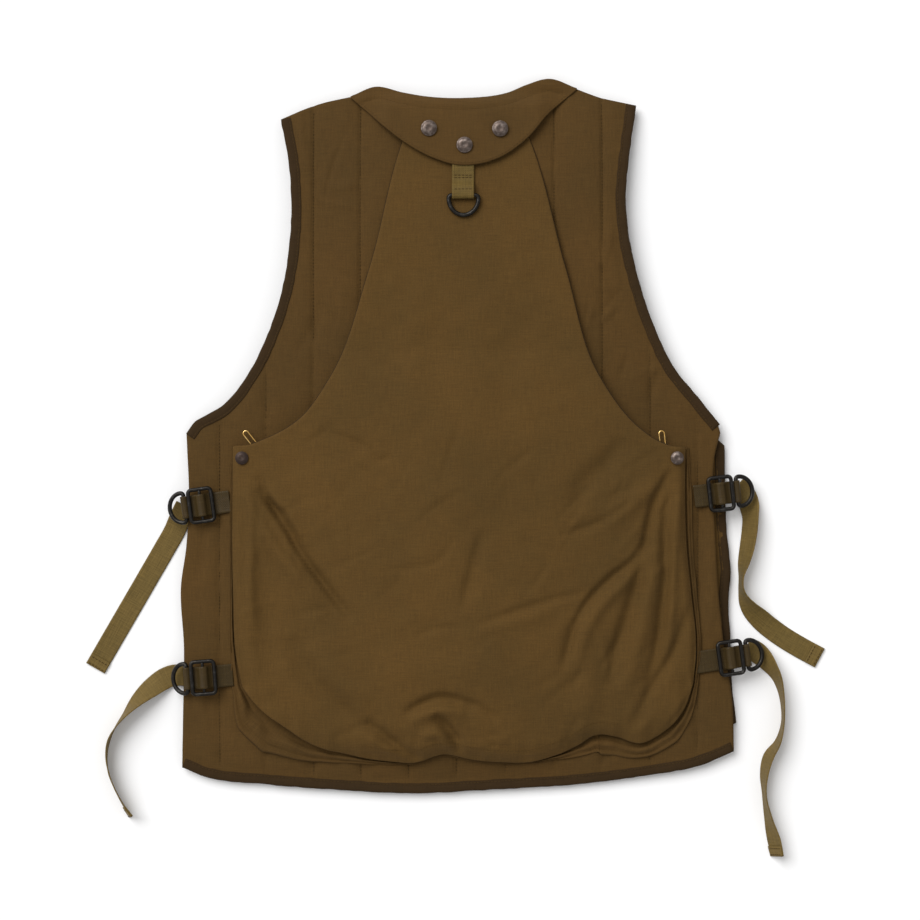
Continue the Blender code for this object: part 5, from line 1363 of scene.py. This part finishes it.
def frame_line(length, width, corner):
    half_u, half_w = length / 2 - corner, width / 2 - corner
    flat = []
    for quarter, (su, sw) in enumerate(((1, 1), (-1, 1), (-1, -1), (1, -1))):
        for a in np.linspace(0, math.pi / 2, 9) + quarter * math.pi / 2:
            flat.append((su * half_u + corner * math.cos(a), sw * half_w + corner * math.sin(a)))
    return flat


for name, ((sx, sy), heading, sewn_x, lift, droop) in STRAPS.items():
    heading = math.radians(heading)
    along = Vector((math.cos(heading), math.sin(heading), 0))
    across = Vector((-along.y, along.x, 0))
    foot = Vector((sx, sy, 0)) - along * SLIDER_LENGTH / 2
    centre = Vector((sx, sy, highest(back_high, foot.x, foot.y, SLIDER_WIDTH / 2) + lift))
    bar = centre + along * (SLIDER_LENGTH / 2 + SLIDER_WIRE / 2 + 0.0012) - Vector((0, 0, 0.0045))
    edge = (SLIDER_LENGTH - SLIDER_WIRE) / 2
    over_wire, over_bar, wrap = (r / 2 + RUN + half for r in (SLIDER_WIRE, SLIDER_BAR, RING_WIRE))
    sewn = (sewn_x - centre.x) / along.x
    start = centre + along * sewn
    lie = highest(back_high, start.x, start.y, STRAP_WIDTH / 2) + LAY + half - centre.z
    ring_u, ring_z = (bar - centre).dot(along), bar.z - centre.z
    under = -over_wire - TILT_ROOM
    line = [(sewn, lie), ((sewn - edge) / 2, (lie + under) / 2), (-edge - 0.002, under), (-edge, under),
            (-edge + 0.003, under), (-0.0052, under * 0.55), (-0.0030, over_bar * 0.70), (-0.0013, over_bar),
            (0.0013, over_bar), (0.0030, over_bar * 0.70), (0.0052, -over_wire * 0.45),
            (edge - 0.0030, -over_wire), (edge - 0.0010, -over_wire), (edge + 0.0008, -over_wire)]
    line += hook_around((ring_u, ring_z), wrap, math.radians(102), math.radians(-200), 8)
    centres = curve_through([centre + along * u + Vector((0, 0, z)) for u, z in line], 110)
    # The anchor webbing's dark finish includes painted shade.
    webbing("anchor_" + name, centres, [tuple(across)] * len(centres), STRAP_WIDTH, WEB_THICK, SHADED_ANCHOR_WEBBING,
            stands_for=("strap_anchor_" + name,))
    flat = frame_line(SLIDER_LENGTH - SLIDER_WIRE, SLIDER_WIDTH - SLIDER_WIRE,
                      SLIDER_CORNER - SLIDER_WIRE / 2)
    outline = smooth_loop(np.array([centre + along * u + across * w for u, w in flat]))
    body = "slider_buckle_" + name
    bent_wire("buckle_" + name, outline, SLIDER_WIRE, (0, 0, 1), GUNMETAL, body, (body,))
    reach = (SLIDER_WIDTH - SLIDER_WIRE) / 2
    rod = np.array([centre + across * w for w in np.linspace(-reach, reach, 12)])
    turns = np.linspace(0, math.tau, 12, endpoint=False)
    section = np.c_[np.cos(turns), np.sin(turns)] * SLIDER_BAR / 2
    rod_points = swept(rod, np.tile(along, (12, 1)), np.tile((0, 0, 1), (12, 1)), section)
    piece("buckle_bar_" + name, rod_points, tube_faces(12, 12), rod_points[:, :2], GUNMETAL, body)
    tilt = math.radians(droop)
    down = along * math.cos(tilt) - Vector((0, 0, math.sin(tilt)))
    ring = "side_ring_" + name
    bent_wire("ring_" + name, ring_line(bar, across, down, 0.034, SIDE_RING_DEPTH), RING_WIRE,
              across.cross(down), GUNMETAL, ring, (ring,))
print("side straps:", len(STRAPS))


# %% [markdown]
# Zips. Each is a woven tape with a chain of small metal teeth, a slider, and a long wire pull.
# The teeth are set one by one along the tape, left and right in turn.

# %% Teeth and tapes
TAPE_WIDTH, TAPE_THICK, CHAIN_HEIGHT = 0.012, 0.0008, 0.0018
TOOTH_PITCH = 0.0024
BOX = [(-1, -1, -1), (1, -1, -1), (1, 1, -1), (-1, 1, -1), (-1, -1, 1), (1, -1, 1), (1, 1, 1), (-1, 1, 1)]
BOX_FACES = [(0, 3, 2, 1), (4, 5, 6, 7), (0, 1, 5, 4), (1, 2, 6, 5), (2, 3, 7, 6), (3, 0, 4, 7)]


def teeth(name, centres, across, up, sides=(-1, 1), rise=CHAIN_HEIGHT):
    """Metal teeth along a line; sides says on which side of it they sit."""
    run = run_of(centres)
    points, faces = [], []
    for index, middle in enumerate(np.arange(TOOTH_PITCH, run[-1] - TOOTH_PITCH, TOOTH_PITCH / 2)):
        sign = sides[index % len(sides)]
        at, side, out = (np.array([np.interp(middle, run, line[:, i]) for i in range(3)])
                         for line in (centres, across, up))
        ahead = np.cross(out, side)
        base = len(points)
        for a, b, c in BOX:
            taper = 0.85 if c > 0 else 1.0
            points.append(at + side * (sign * 0.0010 + a * 0.0010) + ahead * b * 0.00048 * taper
                          + out * (TAPE_THICK * 0.6 + (c + 1) / 2 * (rise - TAPE_THICK * 0.6)))
        faces += [tuple(base + i for i in face) for face in BOX_FACES]
    points = np.array(points)
    return piece(name, points, faces, points[:, :2], CHAIN_METAL, "vest")


def tape(name, centres, across, up, near, far, lift, stands_for):
    section = [(near, lift), (far, lift), (far, lift + TAPE_THICK),
               ((near + far) / 2, lift + TAPE_THICK * 1.05),
               (near, lift + TAPE_THICK)]
    flat = np.c_[np.tile([u for u, w in section], len(centres)), np.repeat(run_of(centres), len(section))]
    return piece(name, swept(centres, across, up, section), tube_faces(len(centres), len(section)), flat,
                 TAPE_CLOTH, "vest", stands_for)


def pull_line(tip, heading):
    """A long loop that starts at its hinge and lies along its heading."""
    ahead = np.array((math.cos(heading), math.sin(heading), 0))
    aside = np.array((-ahead[1], ahead[0], 0))
    radius = (0.0066 - 0.0014) / 2
    straight = 0.0230 - 2 * radius - 0.0014
    near = [tip + ahead * (radius + radius * math.cos(a)) + aside * radius * math.sin(a)
            for a in np.linspace(math.pi / 2, 3 * math.pi / 2, 16)]
    far = [tip + ahead * (radius + straight + radius * math.cos(a)) + aside * radius * math.sin(a)
           for a in np.linspace(-math.pi / 2, math.pi / 2, 16)]
    return smooth_loop(np.array(near + far), 80)


# %% Pouch zips
POUCH_ZIPS = {"left": ((-0.2055, -0.0125), (-0.1280, 0.0520), 128.0),
              "right": ((0.1985, -0.0165), (0.1300, 0.0500), 96.0)}
ZIP_RADIUS, ZIP_LIFT, ZIP_SPARE, ZIP_RUN, ZIP_WALL, PULL_WIRE = 0.113, 0.0014, 0.007, 0.0005, 0.0010, 0.0014

for side, (closed, opened, heading) in POUCH_ZIPS.items():
    closed, opened = np.array(closed), np.array(opened)
    chord = opened - closed
    reach = np.linalg.norm(chord) / 2
    normal = np.array([-chord[1], chord[0]]) / (2 * reach)
    normal *= 1 if normal[1] >= 0 else -1
    hub = (closed + opened) / 2 + normal * math.sqrt(ZIP_RADIUS ** 2 - reach ** 2)
    start, end = (math.atan2(p[1] - hub[1], p[0] - hub[0]) for p in (closed, opened))
    feet = []
    for turn in (start, (start + end) / 2, end):
        x, y = hub + ZIP_RADIUS * np.array([math.cos(turn), math.sin(turn)])
        feet.append(np.array((x, y, float(back_high(x, y)) + ZIP_LIFT)))
    up = np.cross(feet[1] - feet[0], feet[2] - feet[0])
    up *= np.sign(up[2]) / np.linalg.norm(up)
    level = feet[0][2] - ((hub[0] - feet[0][0]) * up[0] + (hub[1] - feet[0][1]) * up[1]) / up[2]
    hub = np.array((hub[0], hub[1], level))
    spare = math.copysign(ZIP_SPARE / ZIP_RADIUS, end - start)
    turns = np.linspace(start - spare, end + spare, 60)
    outward = np.c_[np.cos(turns), np.sin(turns), np.zeros(60)]
    outward -= up * (outward @ up)[:, None]
    outward /= np.linalg.norm(outward, axis=1)[:, None]
    centres = hub + outward * ZIP_RADIUS
    ups = np.tile(up, (60, 1))
    tape("pouch_tape_" + side, centres, outward, ups, -TAPE_WIDTH / 2, TAPE_WIDTH / 2, 0.0,
         ("pouch_zip_tape_" + side,))
    teeth("pouch_teeth_" + side, centres, outward, ups)
    first = np.array((math.cos(start), math.sin(start), 0))
    first -= up * (first @ up)
    eye = hub + first / np.linalg.norm(first) * ZIP_RADIUS
    eye = eye + up * (CHAIN_HEIGHT + ZIP_RUN + ZIP_WALL + LAY + PULL_WIRE)
    pull = "pouch_zip_pull_" + side
    bent_wire("pull_" + side, pull_line(eye, math.radians(heading)), PULL_WIRE, (0, 0, 1), BRASS, pull,
              (pull,), ring=12)
    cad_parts["pouch_zip_slider_" + side].data.materials[0] = BRASS
print("pouch zips:", list(POUCH_ZIPS))


# %% Front zip
zip_y = np.linspace(-0.336, 0.106, 90)
centres = np.c_[np.zeros(90), zip_y, front_low(np.zeros(90), zip_y)]
sides_x, ups = np.tile((1.0, 0, 0), (90, 1)), np.tile((0, 0, 1.0), (90, 1))
shelf, reach = FRONT_THICK + BIND_PROUD + LAY, 0.0060 + 0.0080
for side, sign in (("left", -1), ("right", 1)):
    section_side = sides_x * sign
    tape("front_tape_" + side, centres, section_side, ups, 0.00015, reach, shelf, ("front_zip_tape_" + side,))
teeth("front_teeth", centres + (0, 0, -0.0001), sides_x, ups, rise=shelf)
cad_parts["front_zip_slider"].data.materials[0] = BRASS
eye = np.array((0.0, 0.094, float(front_low(np.array(0.0), np.array(0.094))) - 0.0015 - LAY - PULL_WIRE))
bent_wire("front_pull", pull_line(eye, -math.pi / 2), PULL_WIRE, (0, 0, 1), BRASS, "front_zip_pull",
          ("front_zip_pull",), ring=12)
print("front zip made")


# %% [markdown]
# Front patch pockets lie underneath: a stitched patch and a flap with a press cap on each side.

# %% Front pockets and flaps
for side, sign in (("left", -1), ("right", 1)):
    for kind, (near, far, low_y, high_y) in (("pocket", (0.050, 0.200, -0.280, -0.110)),
                                             ("flap", (0.048, 0.202, -0.165, -0.108))):
        xs, ys = np.linspace(near, far, 50) * sign, np.linspace(low_y, high_y, 40)
        xs = np.sort(xs)
        net = np.stack(np.meshgrid(xs, ys), axis=2)
        clip = 0.006 * np.clip(1 - (net[..., 1] - low_y) / 0.012, 0, 1)
        middle_x = (xs[0] + xs[-1]) / 2
        net[..., 0] = middle_x + (net[..., 0] - middle_x) * (1 - clip / (far - near) * 2)
        px, py = net[..., 0], net[..., 1]
        if kind == "pocket":
            level = front_low(px, py) - LAY
            body, node = "vest", "front_pocket_" + side
        else:
            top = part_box("pocket_flap_" + side)[1].z
            level = np.full(px.shape, top)
            body = node = "pocket_flap_" + side
        rim = np.minimum(np.minimum(px - xs[0], xs[-1] - px), np.minimum(py - low_y, high_y - py))
        level = level - 0.0003 * np.exp(-((rim - 0.006) / 0.0015) ** 2)
        if kind == "pocket":
            under, cut = (fronts[side],), (0.150, 0.171)
        else:
            under, cut = (front_cloth,), (0.154, 0.057)
        front_cloth = panel("front_" + kind + "_" + side, net, level, 0.0014, SHELL, body=body,
                            stands_for=(node,))
    low_corner, high_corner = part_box("pocket_snap_" + side)
    x, y = (low_corner.x + high_corner.x) / 2, (low_corner.y + high_corner.y) / 2
    turned("flap_cap_" + side, (x, y, high_corner.z), cap_profile(SMALL_CAP, CAP_HEIGHT * 0.6), ANTIQUE,
           "pocket_flap_" + side, ("pocket_snap_" + side,), upside=-1)
print("front pockets made")
